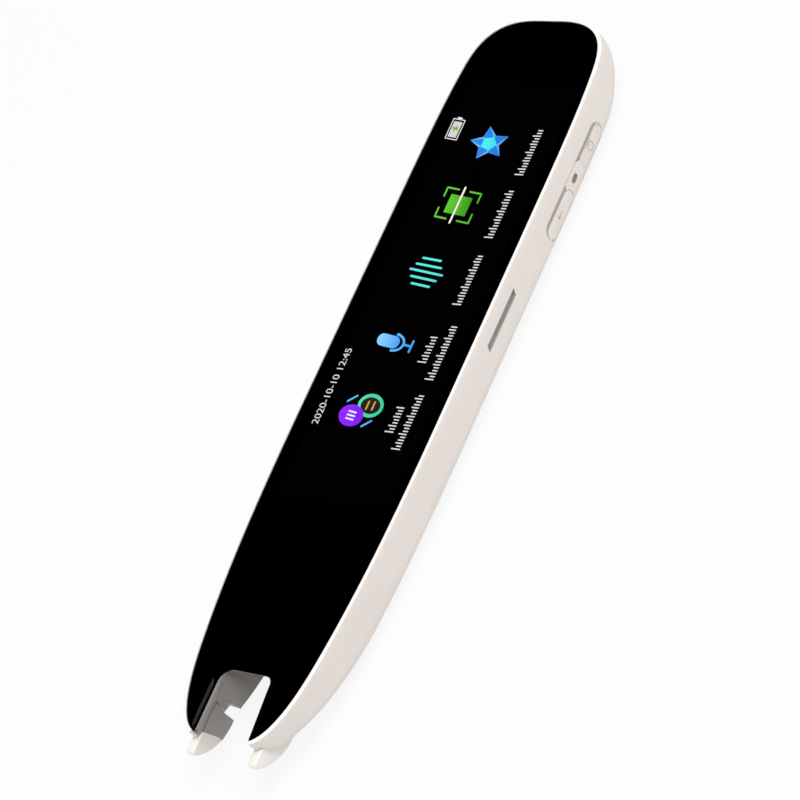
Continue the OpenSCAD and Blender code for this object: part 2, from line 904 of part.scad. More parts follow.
// Ribbon past the battery from the scan board to the main board
ribbon_w = 1.5;
ribbon_lap = 3;
ribbon_end_w = 2;
module scan_flex() {
    x_out = -battery_w / 2 - free_gap - ribbon_w;
    color("orange") plate(board_top_d, board_top_d - flex_t)
        translate([x_out, st(scan_s0 + ribbon_lap)]) {
            square([ribbon_w, scan_s0 - board_s1 + 2 * ribbon_lap]);
            square([scan_board_half - ribbon_w, ribbon_end_w]);
        }
}

camera_len = 7;
camera_s0 = camera_s1 - camera_len;
barrel_end = camera_s1 + barrel_out;
barrel_wall = 0.6;
camera_half = 3.4;
camera_low = 1.7;
lens_in = 0.4;
lens_t = 1.2;
// Camera housing with its lens barrel
module camera_body() {
    color("black") difference() {
        union() {
            block([-camera_half, st(camera_s1), lens_z - camera_low],
                  [camera_half, st(camera_s0), dz(board_low_d)]);
            y_bar(0, lens_z, st(barrel_end), st(camera_s1 - barrel_wall), barrel_d);
        }
        y_bar(0, lens_z, st(barrel_end + past), st(camera_s1), barrel_d - 2 * barrel_wall);
    }
}

// Lens in the barrel
module camera_lens() {
    color("lightblue")
        y_bar(0, lens_z, st(barrel_end - lens_in), st(barrel_end - lens_in - lens_t),
              barrel_d - 2 * barrel_wall - 4 * join);
}

// Clear disc in the hood in front of the lens
window_t = 0.5;
module lens_window() {
    face = tunnel_len(body_t - lens_z + window_d / 2);
    color("lightblue")
        y_bar(0, lens_z, nose(face), nose(face + window_t), window_d - 4 * join);
}

led_s0 = camera_s1 - 1.2;
led_s1 = camera_s1 + 0.5;
led_half = 1;
guide_in = 0.8;
// Two scan lights on the scan board, one on each side of the barrel
module scan_leds() {
    color("white") for (side = [-1, 1])
        block([side * led_x - led_half, st(led_s1), led_z - led_half],
              [side * led_x + led_half, st(led_s0), dz(board_low_d)]);
}

// Clear rods that lead the light through the hood
module light_guides() {
    color("lightblue") for (side = [-1, 1])
        y_bar(side * led_x, led_z, nose(tunnel_len(body_t - led_z) + guide_in), st(led_s1),
              led_d);
}

// ---- Sprung nose ----

plunger_x = -3;
spring_x = 3.5;
bar_mid_d = (arm_low_d + arm_high_d) / 2;
plunger_d = 0.9;
plunger_in = 1.45;
plunger_out = 2.8;
arm_lap = 0.5;
// Carriage that joins the two skids behind the hood
module nib_yoke() {
    color("whitesmoke") difference() {
        union() {
            block([-arm_out, nose(bar_front), dz(arm_low_d)],
                  [arm_out, nose(bar_back), dz(arm_high_d)]);
            for (side = [-1, 1])
                block([side > 0 ? arm_in : -arm_out, nose(arm_end), dz(arm_low_d)],
                      [side > 0 ? arm_out : -arm_in, nose(bar_front + arm_lap),
                       dz(arm_high_d)]);
        }
        y_bar(plunger_x, dz(bar_mid_d), nose(bar_back - plunger_in - snug_gap),
              nose(bar_back + past), plunger_d);
    }
}

// Side view of a skid: a round edge under a top that falls slightly towards the tip
skid_back = 6.7;
skid_neck_d = 5.4;
module skid_profile() {
    intersection() {
        translate([nose(-skid_centre), dz(skid_centre_d)]) circle(skid_r, $fn = 96);
        polygon([
            [nose(slot_top - nib_travel - slide_gap), dz(skid_top_d)],
            [nose(skid_back), dz(skid_neck_d)],
            [nose(skid_back), -past],
            [nose(-skid_reach), -past],
            [nose(-skid_reach), dz(skid_tip_d)],
            [nose(0), dz(skid_top_d)]
        ]);
    }
}

module skid() {
    difference() {
        x_prism(skid_in, skid_out) skid_profile();
        block([arm_in, nose(arm_end), dz(arm_low_d)],
              [arm_out, nose(bar_front), dz(arm_high_d)]);
    }
}

// Translucent skid on each leg
module right_skid() {
    color("snow") skid();
}

module left_skid() {
    color("snow") mirror([1, 0, 0]) skid();
}

switch_len = 3.2;
switch_half = 1.6;
switch_wall = 0.4;
// Housing of the nose switch
module nib_switch() {
    y1 = nose(bar_back + nib_travel + slide_gap + set_gap);
    color("black") difference() {
        block([plunger_x - switch_half, y1, dz(board_top_d)],
              [plunger_x + switch_half, y1 + switch_len, dz(arm_high_d)]);
        y_bar(plunger_x, dz(bar_mid_d), y1 - past, y1 + switch_len - switch_wall,
              plunger_d + 2 * run_gap);
    }
}

// Pin of the nose switch, carried by the yoke
module nib_plunger() {
    color("silver")
        y_bar(plunger_x, dz(bar_mid_d), nose(bar_back - plunger_in),
              nose(bar_back + plunger_out), plunger_d - 4 * join);
}

spring_len = 4.6;
spring_r = 0.6;
wire_r = 0.13;
spring_turns = 6;
turn_steps = 12;
wire_sides = 6;
// Return spring behind the yoke
module nib_spring() {
    n = spring_turns * turn_steps;
    y0 = nose(bar_back) + wire_r + 2 * join;
    run = spring_len - 2 * wire_r - 4 * join;
    rings = [for (i = [0:n]) let (a = 360 * i / turn_steps) [
        for (j = [0:wire_sides - 1]) let (
            b = 360 * j / wire_sides,
            r = spring_r + wire_r * cos(b)
        ) [
            spring_x + r * cos(a),
            y0 + run * i / n + wire_r * sin(b),
            dz(bar_mid_d) + r * sin(a)
        ]
    ]];
    sides = [for (i = [0:n - 1], j = [0:wire_sides - 1]) let (k = (j + 1) % wire_sides) each [
        [i * wire_sides + j, (i + 1) * wire_sides + j, i * wire_sides + k],
        [i * wire_sides + k, (i + 1) * wire_sides + j, (i + 1) * wire_sides + k]
    ]];
    caps = [
        [for (j = [0:wire_sides - 1]) j],
        [for (j = [wire_sides - 1:-1:0]) n * wire_sides + j]
    ];
    color("silver") polyhedron([for (ring = rings) each ring], concat(sides, caps));
}

seat_t = 1;
seat_half = 1.2;
// Block on the scan board that the spring pushes against
module spring_seat() {
    y0 = nose(bar_back + spring_len);
    color("black")
        block([spring_x - seat_half, y0, dz(board_top_d)],
              [spring_x + seat_half, y0 + seat_t, dz(arm_high_d)]);
}

// ---- Side keys ----

// Insert in the side wall: frame, flange and the bridge between the keys
bridge_slope = 1.0;
ear_h = 2.0;
ear_up = 0.9;
ear_len = 0.8;
ear_in = 0.3;
module key_bezel() {
    bridge_x = body_half(bridge_mid_s) - set_gap;
    color("ivory") difference() {
        union() {
            translate([0, st(recess_mid_s), recess_mid_z]) {
                x_prism(bezel_back_x, floor_x)
                    obround(recess_len - 2 * set_gap, recess_h - 2 * set_gap);
                translate([0, 0, ear_up]) x_prism(bezel_back_x, bezel_flange_x - ear_in)
                    square([recess_len + 2 * ear_len, ear_h], center = true);
            }
            bridge(bridge_x);
        }
        key_well(power_s, power_len);
        key_well(back_s, back_len);
        translate([0, st(bridge_mid_s), mic_z])
            x_prism(bezel_back_x - past, body_w) circle(d = mic_hole_d);
    }
}

// Raised bar between the keys, with sloping ends
module bridge(x) {
    z0 = recess_mid_z - recess_h / 2 + set_gap;
    translate([0, 0, z0]) linear_extrude(recess_h - 2 * set_gap) polygon([
        [floor_x - set_gap, st(bridge_s0)],
        [x, st(bridge_s0 + bridge_slope)],
        [x, st(bridge_s1 - bridge_slope)],
        [floor_x - set_gap, st(bridge_s1)]
    ]);
}

module key_well(s, l) {
    translate([0, st(s), key_mid_z])
        x_prism(bezel_back_x - past, body_w)
            obround(l + 2 * run_gap, key_h + 2 * run_gap);
}

// A key: the cap that shows and the flange that keeps it in
key_lip = 0.4;
key_end = 2;
module key(s, l) {
    face = body_half(s - l / 2) - key_sink;
    translate([0, st(s), key_mid_z]) {
        x_prism(key_flange_x - flange_t, face) obround(l, key_h);
        x_prism(key_flange_x - flange_t, key_flange_x)
            translate([0, key_h / 4 + key_lip / 2])
                square([l - key_end, key_h / 2 + key_lip], center = true);
    }
}

module power_key() {
    color("ivory") difference() {
        key(power_s, power_len);
        power_mark();
    }
}

module back_key() {
    color("ivory") key(back_s, back_len);
}

// Engraved ring on the power key
mark_d = 1.9;
mark_line = 0.22;
mark_depth = 0.12;
module power_mark() {
    face = body_half(power_s - power_len / 2) - key_sink;
    translate([0, st(power_s), key_mid_z])
        x_prism(face - mark_depth, face + past) difference() {
            circle(d = mark_d);
            circle(d = mark_d - 2 * mark_line);
        }
}

// Upright board behind the keys
key_board_t = 0.7;
key_board_over = 1.5;
module key_board() {
    color("seagreen")
        block([key_board_x - key_board_t, st(recess_s + recess_len + key_board_over),
               dz(recess_low_d - set_gap)],
              [key_board_x, st(recess_s - slide_gap), dz(frame_low_d + free_gap)]);
}

// Two tact switches
can_depth = 0.6;
tact_size = [3.4, 2.6];
tact_d = 1.6;
module key_switches() {
    color("silver") for (s = [power_s, back_s])
        translate([0, st(s), key_mid_z]) {
            x_prism(key_board_x, key_board_x + can_depth) square(tact_size, center = true);
            x_prism(key_board_x + can_depth - join, switch_face_x) circle(d = tact_d);
        }
}

// Short ribbon from the key board to the main board
module key_flex() {
    color("orange")
        block([key_board_x - key_board_t - ribbon_w, st(recess_mid_s + ribbon_end_w),
               dz(board_top_d)],
              [key_board_x - key_board_t, st(recess_mid_s - ribbon_end_w),
               dz(board_top_d - flex_t)]);
}

mic_t = 0.9;
mic_size = [2.8, 2.6];
boot_d = 2.5;
// Microphone behind the hole in the bridge
module microphone() {
    color("silver") translate([0, st(bridge_mid_s), mic_z])
        x_prism(key_board_x, key_board_x + mic_t) square(mic_size, center = true);
}

// Rubber boot that seals the microphone to the bezel
module mic_boot() {
    color("black") translate([0, st(bridge_mid_s), mic_z]) difference() {
        x_prism(key_board_x + mic_t, bezel_back_x) circle(d = boot_d);
        x_prism(key_board_x, body_w) circle(d = mic_hole_d);
    }
}

// ---- Fasteners ----

// Screws that hold the boards to the frame's bosses
head_d = 2.4;
head_h = 0.5;
screw_len = 1.2;
socket_d = 1.0;
socket_in = 0.3;
module board_screws() {
    color("silver") screw_places() difference() {
        union() {
            translate([0, 0, dz(board_low_d) - head_h]) cylinder(h = head_h, d = head_d);
            translate([0, 0, dz(board_low_d) - join])
                cylinder(h = board_t + screw_len, d = screw_d);
        }
        translate([0, 0, dz(board_low_d) - head_h - past])
            cylinder(h = past + socket_in, d = socket_d, $fn = 6);
    }
}

front_glass();
glass_adhesive();
display_panel();
backlight();
display_flex();
mid_frame();
body_shell();
scan_hood();
inlay_frame();
brushed_panel();
sound_badge();
speaker_mesh();
speaker_gasket();
speaker_frame();
speaker_cone();
speaker_magnet();
main_board();
processor();
shield_can();
memory_chip();
usb_socket();
usb_tongue();
card_socket();
battery();
battery_tape();
battery_lead();
scan_board();
scan_flex();
camera_body();
camera_lens();
lens_window();
scan_leds();
light_guides();
nib_yoke();
left_skid();
right_skid();
nib_switch();
nib_plunger();
nib_spring();
spring_seat();
key_bezel();
power_key();
back_key();
key_board();
key_switches();
key_flex();
microphone();
mic_boot();
board_screws();
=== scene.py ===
"""Looks of a handheld translator: glass, screen, moulded shell, keys, nose and every inside part."""

import math

import bmesh
import bpy
from mathutils import Matrix, Vector


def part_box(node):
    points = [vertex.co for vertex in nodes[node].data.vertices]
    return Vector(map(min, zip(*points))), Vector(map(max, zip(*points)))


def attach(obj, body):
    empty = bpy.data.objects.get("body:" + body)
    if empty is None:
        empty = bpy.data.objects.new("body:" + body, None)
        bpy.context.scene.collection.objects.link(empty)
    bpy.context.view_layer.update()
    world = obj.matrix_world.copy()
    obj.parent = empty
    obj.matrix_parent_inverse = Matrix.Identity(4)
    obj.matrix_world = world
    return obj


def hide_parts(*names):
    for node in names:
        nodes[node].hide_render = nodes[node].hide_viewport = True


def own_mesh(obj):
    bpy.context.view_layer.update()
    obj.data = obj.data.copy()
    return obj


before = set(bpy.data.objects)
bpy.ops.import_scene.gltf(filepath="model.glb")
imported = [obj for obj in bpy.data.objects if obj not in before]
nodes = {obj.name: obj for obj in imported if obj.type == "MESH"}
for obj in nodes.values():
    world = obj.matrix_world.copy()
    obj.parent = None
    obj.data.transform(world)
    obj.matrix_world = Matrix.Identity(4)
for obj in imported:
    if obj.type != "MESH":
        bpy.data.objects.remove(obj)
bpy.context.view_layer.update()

# ---- Places, in millimetres as in the part's source ----
#
# X runs to the key side, Y to the charging end and Z out of the screen. A station s is a distance from the top end
# of the glass, n a distance from the glass's nose end, and a depth d goes down from the glass's face.

MM = 0.001
TOP_Y = 77.1
BODY_T = 11.8
GLASS_LEN, GLASS_HALF, GLASS_T = 151.5, 16.4, 1.0

# The shell stands out round the glass by its rim. The outline turns within these lengths at its ends.
RIM = 0.6
TOP_ROUND, NOSE_ROUND = 12, 17.5

# Rails that carry the glass along the legs: where they start and how deep they reach
RAIL_S, RAIL_D = 132.8, 2.1

# Scan tunnel, the groove in its walls, and the clear window over it; they run out past the nose to OPEN_END.
# Faces nearer the middle than INNER_SIDE are on the inner sides of the legs and skids.
TUNNEL_HALF, SEAM = 6.3, 0.14
WINDOW_LEFT, WINDOW_END, OPEN_END = 6.95, 13.2, -4.0
INNER_SIDE = 6.95

# Back: the panel's end towards the badge, and the middle of the loudspeaker
PANEL_S, SPEAKER_S = 34.6, 22.2

# Key side: the recess, its two keys with the bridge between them, and the card slot
RECESS_S, POWER_S, BRIDGE_S, BACK_S = 30.9, 23.0, 30.2, 38.1
KEY_Z = 5.05
CARD_S = 62.55

# Heights clear of the back and of the glass, for cuts that go right through
UNDER, OVER = -1, BODY_T + 1


def st(s):
    return TOP_Y - s


def nose(n):
    return TOP_Y - GLASS_LEN + n


def dz(d):
    return BODY_T - d


# ---- Outline and cross-section of the pen ----

TOP_TAPER, TOP_TAPER_LEN = 3, 60
NOSE_TAPER, NOSE_TAPER_S = 5.85, 80
CROWN_RISE, CROWN_LEN = 5.2, 17
BOW_S = 124
LEG_END_S, LEG_END_LEN = 145, 7.1
SHORT_OF_END = 0.997


def mirrored(right):
    """A whole outline from its right half."""
    return right + [(-x, y) for x, y in reversed(right)]


def past(x):
    """How far a number is above nought."""
    return max(0.0, x)


def grown_half(s, g):
    """Half width of the glass outline at station s, grown by g."""
    taper = past((s - NOSE_TAPER_S) / (GLASS_LEN - NOSE_TAPER_S))
    narrowed = TOP_TAPER * past(1 - s / TOP_TAPER_LEN) ** 6 + NOSE_TAPER * taper ** 3
    into_top = SHORT_OF_END * past(1 - s / TOP_ROUND)
    into_nose = SHORT_OF_END * past((s - (GLASS_LEN - NOSE_ROUND)) / NOSE_ROUND)
    return (GLASS_HALF + g - narrowed) * (1 - into_top ** 3.4) ** (1 / 3.4) * (1 - into_nose ** 3) ** (1 / 5)


def grown_station(s, g):
    """Station s of the glass outline once that has grown by g at both ends."""
    return (s - GLASS_LEN / 2) * (GLASS_LEN + 2 * g) / GLASS_LEN + GLASS_LEN / 2


def body_half(s):
    """Half width over the shell at station s."""
    at = (s - GLASS_LEN / 2) * GLASS_LEN / (GLASS_LEN + 2 * RIM) + GLASS_LEN / 2
    return grown_half(at, RIM)


def back_depth(s):
    """Depth of the middle of the back, which rises to the top end and bows up to the leg tips."""
    crown = CROWN_RISE * (past(CROWN_LEN - s) / CROWN_LEN) ** 1.8
    bow = 0.01508 * past(s - BOW_S) ** 1.825
    leg_end = math.sqrt(1 - (0.98 * past((s - LEG_END_S) / LEG_END_LEN)) ** 4)
    return (BODY_T - crown - bow) * leg_end


def waist(s):
    """How much wider the back's edges round off where the legs begin."""
    return 2.5 * past(1 - ((s - 124.5) / 20) ** 2) ** 2


def stations(ends, middle):
    """Stations from the top end to the nose, closer together where the ends turn."""
    quarter = math.pi / 2
    straight = GLASS_LEN - TOP_ROUND - NOSE_ROUND
    top = [TOP_ROUND * (1 - math.cos(quarter * i / ends)) for i in range(ends)]
    mid = [TOP_ROUND + straight * i / middle for i in range(middle + 1)]
    low = [GLASS_LEN - NOSE_ROUND * (1 - math.cos(quarter * (ends - i) / ends)) for i in range(1, ends + 1)]
    return top + mid + low


def outline(g):
    """Points round the glass outline, grown by g."""
    return mirrored([(grown_half(s, g), st(grown_station(s, g))) for s in stations(24, 40)])


def section(h, d, r, round_up):
    """Half of the cross-section, from the glass side down to the middle of the back.

    The half width is h, the back's depth d and the inset of its flat r; round_up makes the flank turn in sooner.
    """
    kx = min(1.0, h / 12)
    kz = d / BODY_T
    line = [(h - 0.3 * kx * (1 - math.sin(a)), 0.35 * kz * (1 - math.cos(a)))
            for a in (0.0, 0.39, 0.79, 1.18, math.pi / 2)]
    straight, turn_end, turn_in, turn_angle = 7.0 / round_up, 10.2, 3.2, 68
    line += [(h, share * straight * kz) for share in (0.35, 0.7)]
    for i in range(13):
        a = math.radians(turn_angle * i / 12)
        line.append((h - turn_in * kx * round_up * (1 - math.cos(a)),
                     kz * (straight + (turn_end - straight) * math.sin(a))))
    first, turn, last = (r, kz * (BODY_T - 0.43)), (r + 1.06, d), (r + 1.8, d)
    for i in range(7):
        t = i / 6
        x, z = [(1 - t) ** 2 * first[k] + 2 * t * (1 - t) * turn[k] + t * t * last[k] for k in (0, 1)]
        line.append((h - x * kx, z))
    line.append(((h - last[0] * kx) / 2, d))
    return line


def pen_ring(s, g, b):
    """Cross-section at station s, with its sides grown by g and its back drawn in by b."""
    at = grown_station(s, g)
    round_up = 1 + 1.2 * (past(14 - s) / 14) ** 1.5
    half = section(grown_half(s, g), max(0.5, back_depth(at) - b), 6.2 + waist(at), round_up)
    return [(x, st(at), dz(d)) for x, d in mirrored(half)]


def tunnel_len(d):
    """How far the tunnel reaches in from the nose at a depth; its end wall slopes."""
    return 13.1 + 3.9 * (d - 1) / 9.6


# ---- Mesh tools ----

def outward(bm):
    """Turns every face of a closed solid outward."""
    bmesh.ops.recalc_face_normals(bm, faces=bm.faces)
    if bm.calc_volume(signed=True) < 0:
        bmesh.ops.reverse_faces(bm, faces=bm.faces)
    return bm


def closed(bm):
    """Welds the points of a lofted skin and fills its open ends."""
    bmesh.ops.remove_doubles(bm, verts=bm.verts, dist=1e-4)
    bmesh.ops.holes_fill(bm, edges=[e for e in bm.edges if e.is_boundary], sides=0)
    return outward(bm)


def loft(rings):
    """Closed solid through rings that have the same number of points."""
    across, along = len(rings[0]), len(rings) - 1
    bm = bmesh.new()
    bmesh.ops.create_grid(bm, x_segments=across, y_segments=along, size=1)
    for v in bm.verts:
        i = round((v.co.x + 1) / 2 * across) % across
        j = round((v.co.y + 1) / 2 * along)
        v.co = rings[j][i]
    return closed(bm)


def tinted(bm, index):
    """Sets which of the piece's materials the faces take."""
    for f in bm.faces:
        f.material_index = index
    return bm


def prism(points, z0, z1):
    """Flat shape in X and Y raised between two heights."""
    bm = bmesh.new()
    face = bm.faces.new([bm.verts.new((x, y, z0)) for x, y in points])
    up = bmesh.ops.extrude_face_region(bm, geom=[face])["geom"]
    for v in up:
        if isinstance(v, bmesh.types.BMVert):
            v.co.z = z1
    return outward(bm)


def block(low, high):
    """Box between two corners."""
    bm = bmesh.new()
    bmesh.ops.create_cube(bm, size=1)
    size = [b - a for a, b in zip(low, high)]
    bmesh.ops.scale(bm, vec=size, verts=bm.verts)
    bmesh.ops.translate(bm, vec=[(a + b) / 2 for a, b in zip(low, high)], verts=bm.verts)
    return bm


def arc(cx, cy, r, a0, a1, steps=8):
    """Points along an arc between two angles in degrees."""
    angles = [math.radians(a0 + (a1 - a0) * i / steps) for i in range(steps + 1)]
    return [(cx + r * math.cos(a), cy + r * math.sin(a)) for a in angles]


def obround(length, height, steps):
    """Rectangle with half-round ends."""
    r = height / 2
    return arc(length / 2 - r, 0, r, -90, 90, steps) + arc(r - length / 2, 0, r, 90, 270, steps)


def u_points(half, top, r):
    """U outline over the nose, open past its end, with round corners at its top."""
    y = nose(top - r)
    return ([(half, nose(OPEN_END))] + arc(half - r, y, r, 0, 90) + arc(r - half, y, r, 90, 180)
            + [(-half, nose(OPEN_END))])


def turned(bm):
    """Turns a prism that was drawn as Y and Z and raised between two places along X."""
    for v in bm.verts:
        x, y, z = v.co
        v.co = (z, x, y)
    return outward(bm)


def soften(bm, width, angle, segments=2, keep=None):
    """Rounds the edges that turn by more than an angle."""
    sharp = [e for e in bm.edges if len(e.link_faces) == 2
             and e.calc_face_angle(0) > math.radians(angle) and (keep is None or keep(e))]
    bmesh.ops.bevel(bm, geom=sharp, offset=width, offset_type="OFFSET", affect="EDGES",
                    segments=segments, profile=0.5, material=-1, clamp_overlap=True)
    return bm


def placed(name, data):
    """Puts a mesh, a text, a lamp or a camera into the scene."""
    thing = bpy.data.objects.new(name, data)
    bpy.context.scene.collection.objects.link(thing)
    return thing


def as_mesh(name, bm):
    """Turns a shape into a mesh and drops the shape."""
    mesh = bpy.data.meshes.new(name)
    bm.to_mesh(mesh)
    bm.free()
    return mesh


def as_object(name, bm):
    """Makes a piece in metres from a shape in millimetres."""
    bmesh.ops.scale(bm, vec=(MM,) * 3, verts=bm.verts)
    return placed(name, as_mesh(name, bm))


def final_mesh(thing):
    """The mesh of a thing as its modifiers or its curve leave it."""
    bpy.context.view_layer.update()
    return bpy.data.meshes.new_from_object(thing.evaluated_get(bpy.context.evaluated_depsgraph_get()))


def give_materials(piece, materials):
    """Adds materials to those that a piece has; faces pick theirs by number."""
    for m in materials:
        piece.data.materials.append(m)
    return piece


def carve(piece, cutters, operation="DIFFERENCE"):
    """Cuts solids out of a piece one after another and drops them."""
    for bm in cutters:
        tool = as_object("cutter", bm) if isinstance(bm, bmesh.types.BMesh) else bm
        if not tool.data.materials:
            give_materials(tool, piece.data.materials)
        m = piece.modifiers.new("cut", "BOOLEAN")
        m.operation, m.solver, m.object = operation, "EXACT", tool
        done = final_mesh(piece)
        piece.modifiers.clear()
        old, piece.data = piece.data, done
        bpy.data.meshes.remove(old)
        bpy.data.objects.remove(tool)
    return piece


def dress(piece, body, materials, replaces=(), angle=30):
    """Gives a piece its materials and smooth faces, puts it on its body and hides the nodes that it stands for.

    A piece that already has its materials, because it was cut in several of them, gets none here.
    """
    give_materials(piece, materials)
    for p in piece.data.polygons:
        p.use_smooth = True
    piece.data.set_sharp_from_angle(angle=math.radians(angle))
    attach(piece, body)
    if replaces:
        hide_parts(*replaces)
    return piece


def merged(node_name):
    """A copy of a node's mesh in millimetres, with its triangles joined into plain faces."""
    bm = bmesh.new()
    bm.from_mesh(nodes[node_name].data)
    bmesh.ops.scale(bm, vec=(1 / MM,) * 3, verts=bm.verts)
    bmesh.ops.remove_doubles(bm, verts=bm.verts, dist=1e-3)
    bmesh.ops.dissolve_limit(bm, angle_limit=math.radians(0.6), verts=bm.verts, edges=bm.edges)
    return bm


# ---- Colours and shader groups ----

PER_METRE = 1000.0


def colour(code):
    """Linear colour from a hexadecimal code."""
    def channel(text):
        c = int(text, 16) / 255
        return c / 12.92 if c <= 0.04045 else ((c + 0.055) / 1.055) ** 2.4
    return tuple(channel(code[i:i + 2]) for i in (1, 3, 5)) + (1,)


def new_group(name, inputs, outputs):
    """Starts a shader group with named inputs and outputs."""
    tree = bpy.data.node_groups.new(name, "ShaderNodeTree")
    kinds = {"f": "NodeSocketFloat", "v": "NodeSocketVector"}
    for label, kind, value in inputs:
        socket = tree.interface.new_socket(label, in_out="INPUT", socket_type=kinds[kind])
        if value is not None:
            socket.default_value = value
    for label, kind in outputs:
        tree.interface.new_socket(label, in_out="OUTPUT", socket_type=kinds[kind])
    return tree, tree.nodes.new("NodeGroupInput"), tree.nodes.new("NodeGroupOutput")


def node(tree, kind, links=(), **values):
    """Adds a shader node, sets its values and joins its inputs."""
    n = tree.nodes.new(kind)
    for key, value in values.items():
        setattr(n, key, value)
    for socket, source in links:
        if hasattr(source, "is_output"):
            tree.links.new(source, n.inputs[socket])
        else:
            n.inputs[socket].default_value = source
    return n


def noise(tree, where, scale, detail=2.0, roughness=0.5):
    """Cloudy pattern between 0 and 1."""
    n = node(tree, "ShaderNodeTexNoise",
             [("Vector", where), ("Scale", scale), ("Detail", detail), ("Roughness", roughness)])
    return n.outputs["Fac"]


def times(tree, value, factor):
    """One value times another."""
    return node(tree, "ShaderNodeMath", [(0, value), (1, factor)], operation="MULTIPLY").outputs[0]


def moulded_grain():
    """Fine grain and broad unevenness of a moulded surface."""
    tree, start, end = new_group(
        "moulded_grain",
        [("Vector", "v", None), ("Grain per mm", "f", 8.0), ("Broad per mm", "f", 0.06)],
        [("Grain", "f"), ("Broad", "f")])
    for label, detail, roughness in (("Grain", 2.0, 0.6), ("Broad", 3.0, 0.55)):
        scale = times(tree, start.outputs[label + " per mm"], PER_METRE)
        tree.links.new(noise(tree, start.outputs["Vector"], scale, detail, roughness), end.inputs[label])
    return tree


def brush_lines():
    """Fine straight lines along Y, as brushing leaves them in metal, and streaks five times as broad."""
    tree, start, end = new_group(
        "brush_lines",
        [("Vector", "v", None), ("Lines per mm", "f", 6.0), ("Stretch", "f", 60.0)],
        [("Lines", "f"), ("Streaks", "f")])
    thin = node(tree, "ShaderNodeMath", [(0, 1.0), (1, start.outputs["Stretch"])], operation="DIVIDE")
    shape = node(tree, "ShaderNodeCombineXYZ", [("X", 1.0), ("Y", thin.outputs[0]), ("Z", 1.0)])
    flat = node(tree, "ShaderNodeVectorMath", [(0, start.outputs["Vector"]), (1, shape.outputs[0])],
                operation="MULTIPLY")
    fine = times(tree, start.outputs["Lines per mm"], PER_METRE)
    tree.links.new(noise(tree, flat.outputs[0], fine, 3.0, 0.7), end.inputs["Lines"])
    tree.links.new(noise(tree, flat.outputs[0], times(tree, fine, 0.2)), end.inputs["Streaks"])
    return tree


GRAIN = moulded_grain()
BRUSH = brush_lines()


def material(name):
    """A new material with its tree, its main shader and the place on the object."""
    m = bpy.data.materials.new(name)
    m.use_nodes = True
    tree = m.node_tree
    shader = next(n for n in tree.nodes if n.type == "BSDF_PRINCIPLED")
    where = tree.nodes.new("ShaderNodeTexCoord").outputs["Object"]
    return m, tree, shader, where


def between(tree, mask, low, high):
    """A plain number that follows a mask."""
    n = node(tree, "ShaderNodeMapRange",
             [("Value", mask), ("From Min", 0.3), ("From Max", 0.7), ("To Min", low), ("To Max", high)])
    return n.outputs["Result"]


def relief(tree, shader, height, strength, depth):
    """Lets a height show as fine relief."""
    bump = node(tree, "ShaderNodeBump", [("Strength", strength), ("Distance", depth), ("Height", height)])
    tree.links.new(bump.outputs["Normal"], shader.inputs["Normal"])


def blended(tree, mask, one, two):
    """A colour between two, after a mask."""
    n = node(tree, "ShaderNodeMix", data_type="RGBA")
    tree.links.new(between(tree, mask, 0.0, 1.0), n.inputs["Factor"])
    for label, c in (("A", one), ("B", two)):
        next(i for i in n.inputs if i.name == label and i.type == "RGBA").default_value = c
    return next(o for o in n.outputs if o.type == "RGBA")


def moulded(name, one, two, rough, grain=8.0, broad=0.06, bump=0.15, coat=0.0, metal=0.0, specular=0.5, soft=0.0):
    """A moulded, painted or pressed finish in two near tones with its own grain."""
    m, tree, shader, where = material(name)
    g = node(tree, "ShaderNodeGroup", node_tree=GRAIN)
    tree.links.new(where, g.inputs["Vector"])
    g.inputs["Grain per mm"].default_value = grain
    g.inputs["Broad per mm"].default_value = broad
    tree.links.new(blended(tree, g.outputs["Broad"], colour(one), colour(two)), shader.inputs["Base Color"])
    tree.links.new(between(tree, g.outputs["Grain"], *rough), shader.inputs["Roughness"])
    relief(tree, shader, g.outputs["Grain"], bump, 0.02 * MM)
    shader.inputs["Metallic"].default_value = metal
    shader.inputs["Specular IOR Level"].default_value = specular
    shader.inputs["Coat Weight"].default_value = coat
    if soft:
        shader.inputs["Subsurface Weight"].default_value = soft
        shader.inputs["Subsurface Radius"].default_value = (1.0, 0.8, 0.6)
        shader.inputs["Subsurface Scale"].default_value = 0.0012
    return m


def brushed(name, one, two, rough, lines=6.0, stretch=60.0, bump=0.2, metal=1.0):
    """Brushed sheet metal in two near tones."""
    m, tree, shader, where = material(name)
    g = node(tree, "ShaderNodeGroup", node_tree=BRUSH)
    tree.links.new(where, g.inputs["Vector"])
    g.inputs["Lines per mm"].default_value = lines
    g.inputs["Stretch"].default_value = stretch
    tree.links.new(blended(tree, g.outputs["Lines"], colour(one), colour(two)), shader.inputs["Base Color"])
    tree.links.new(between(tree, g.outputs["Streaks"], *rough), shader.inputs["Roughness"])
    relief(tree, shader, g.outputs["Lines"], bump, 0.01 * MM)
    shader.inputs["Metallic"].default_value = metal
    return m


def higher(tree, one, two):
    """The higher of two values."""
    return node(tree, "ShaderNodeMath", [(0, one), (1, two)], operation="MAXIMUM").outputs[0]


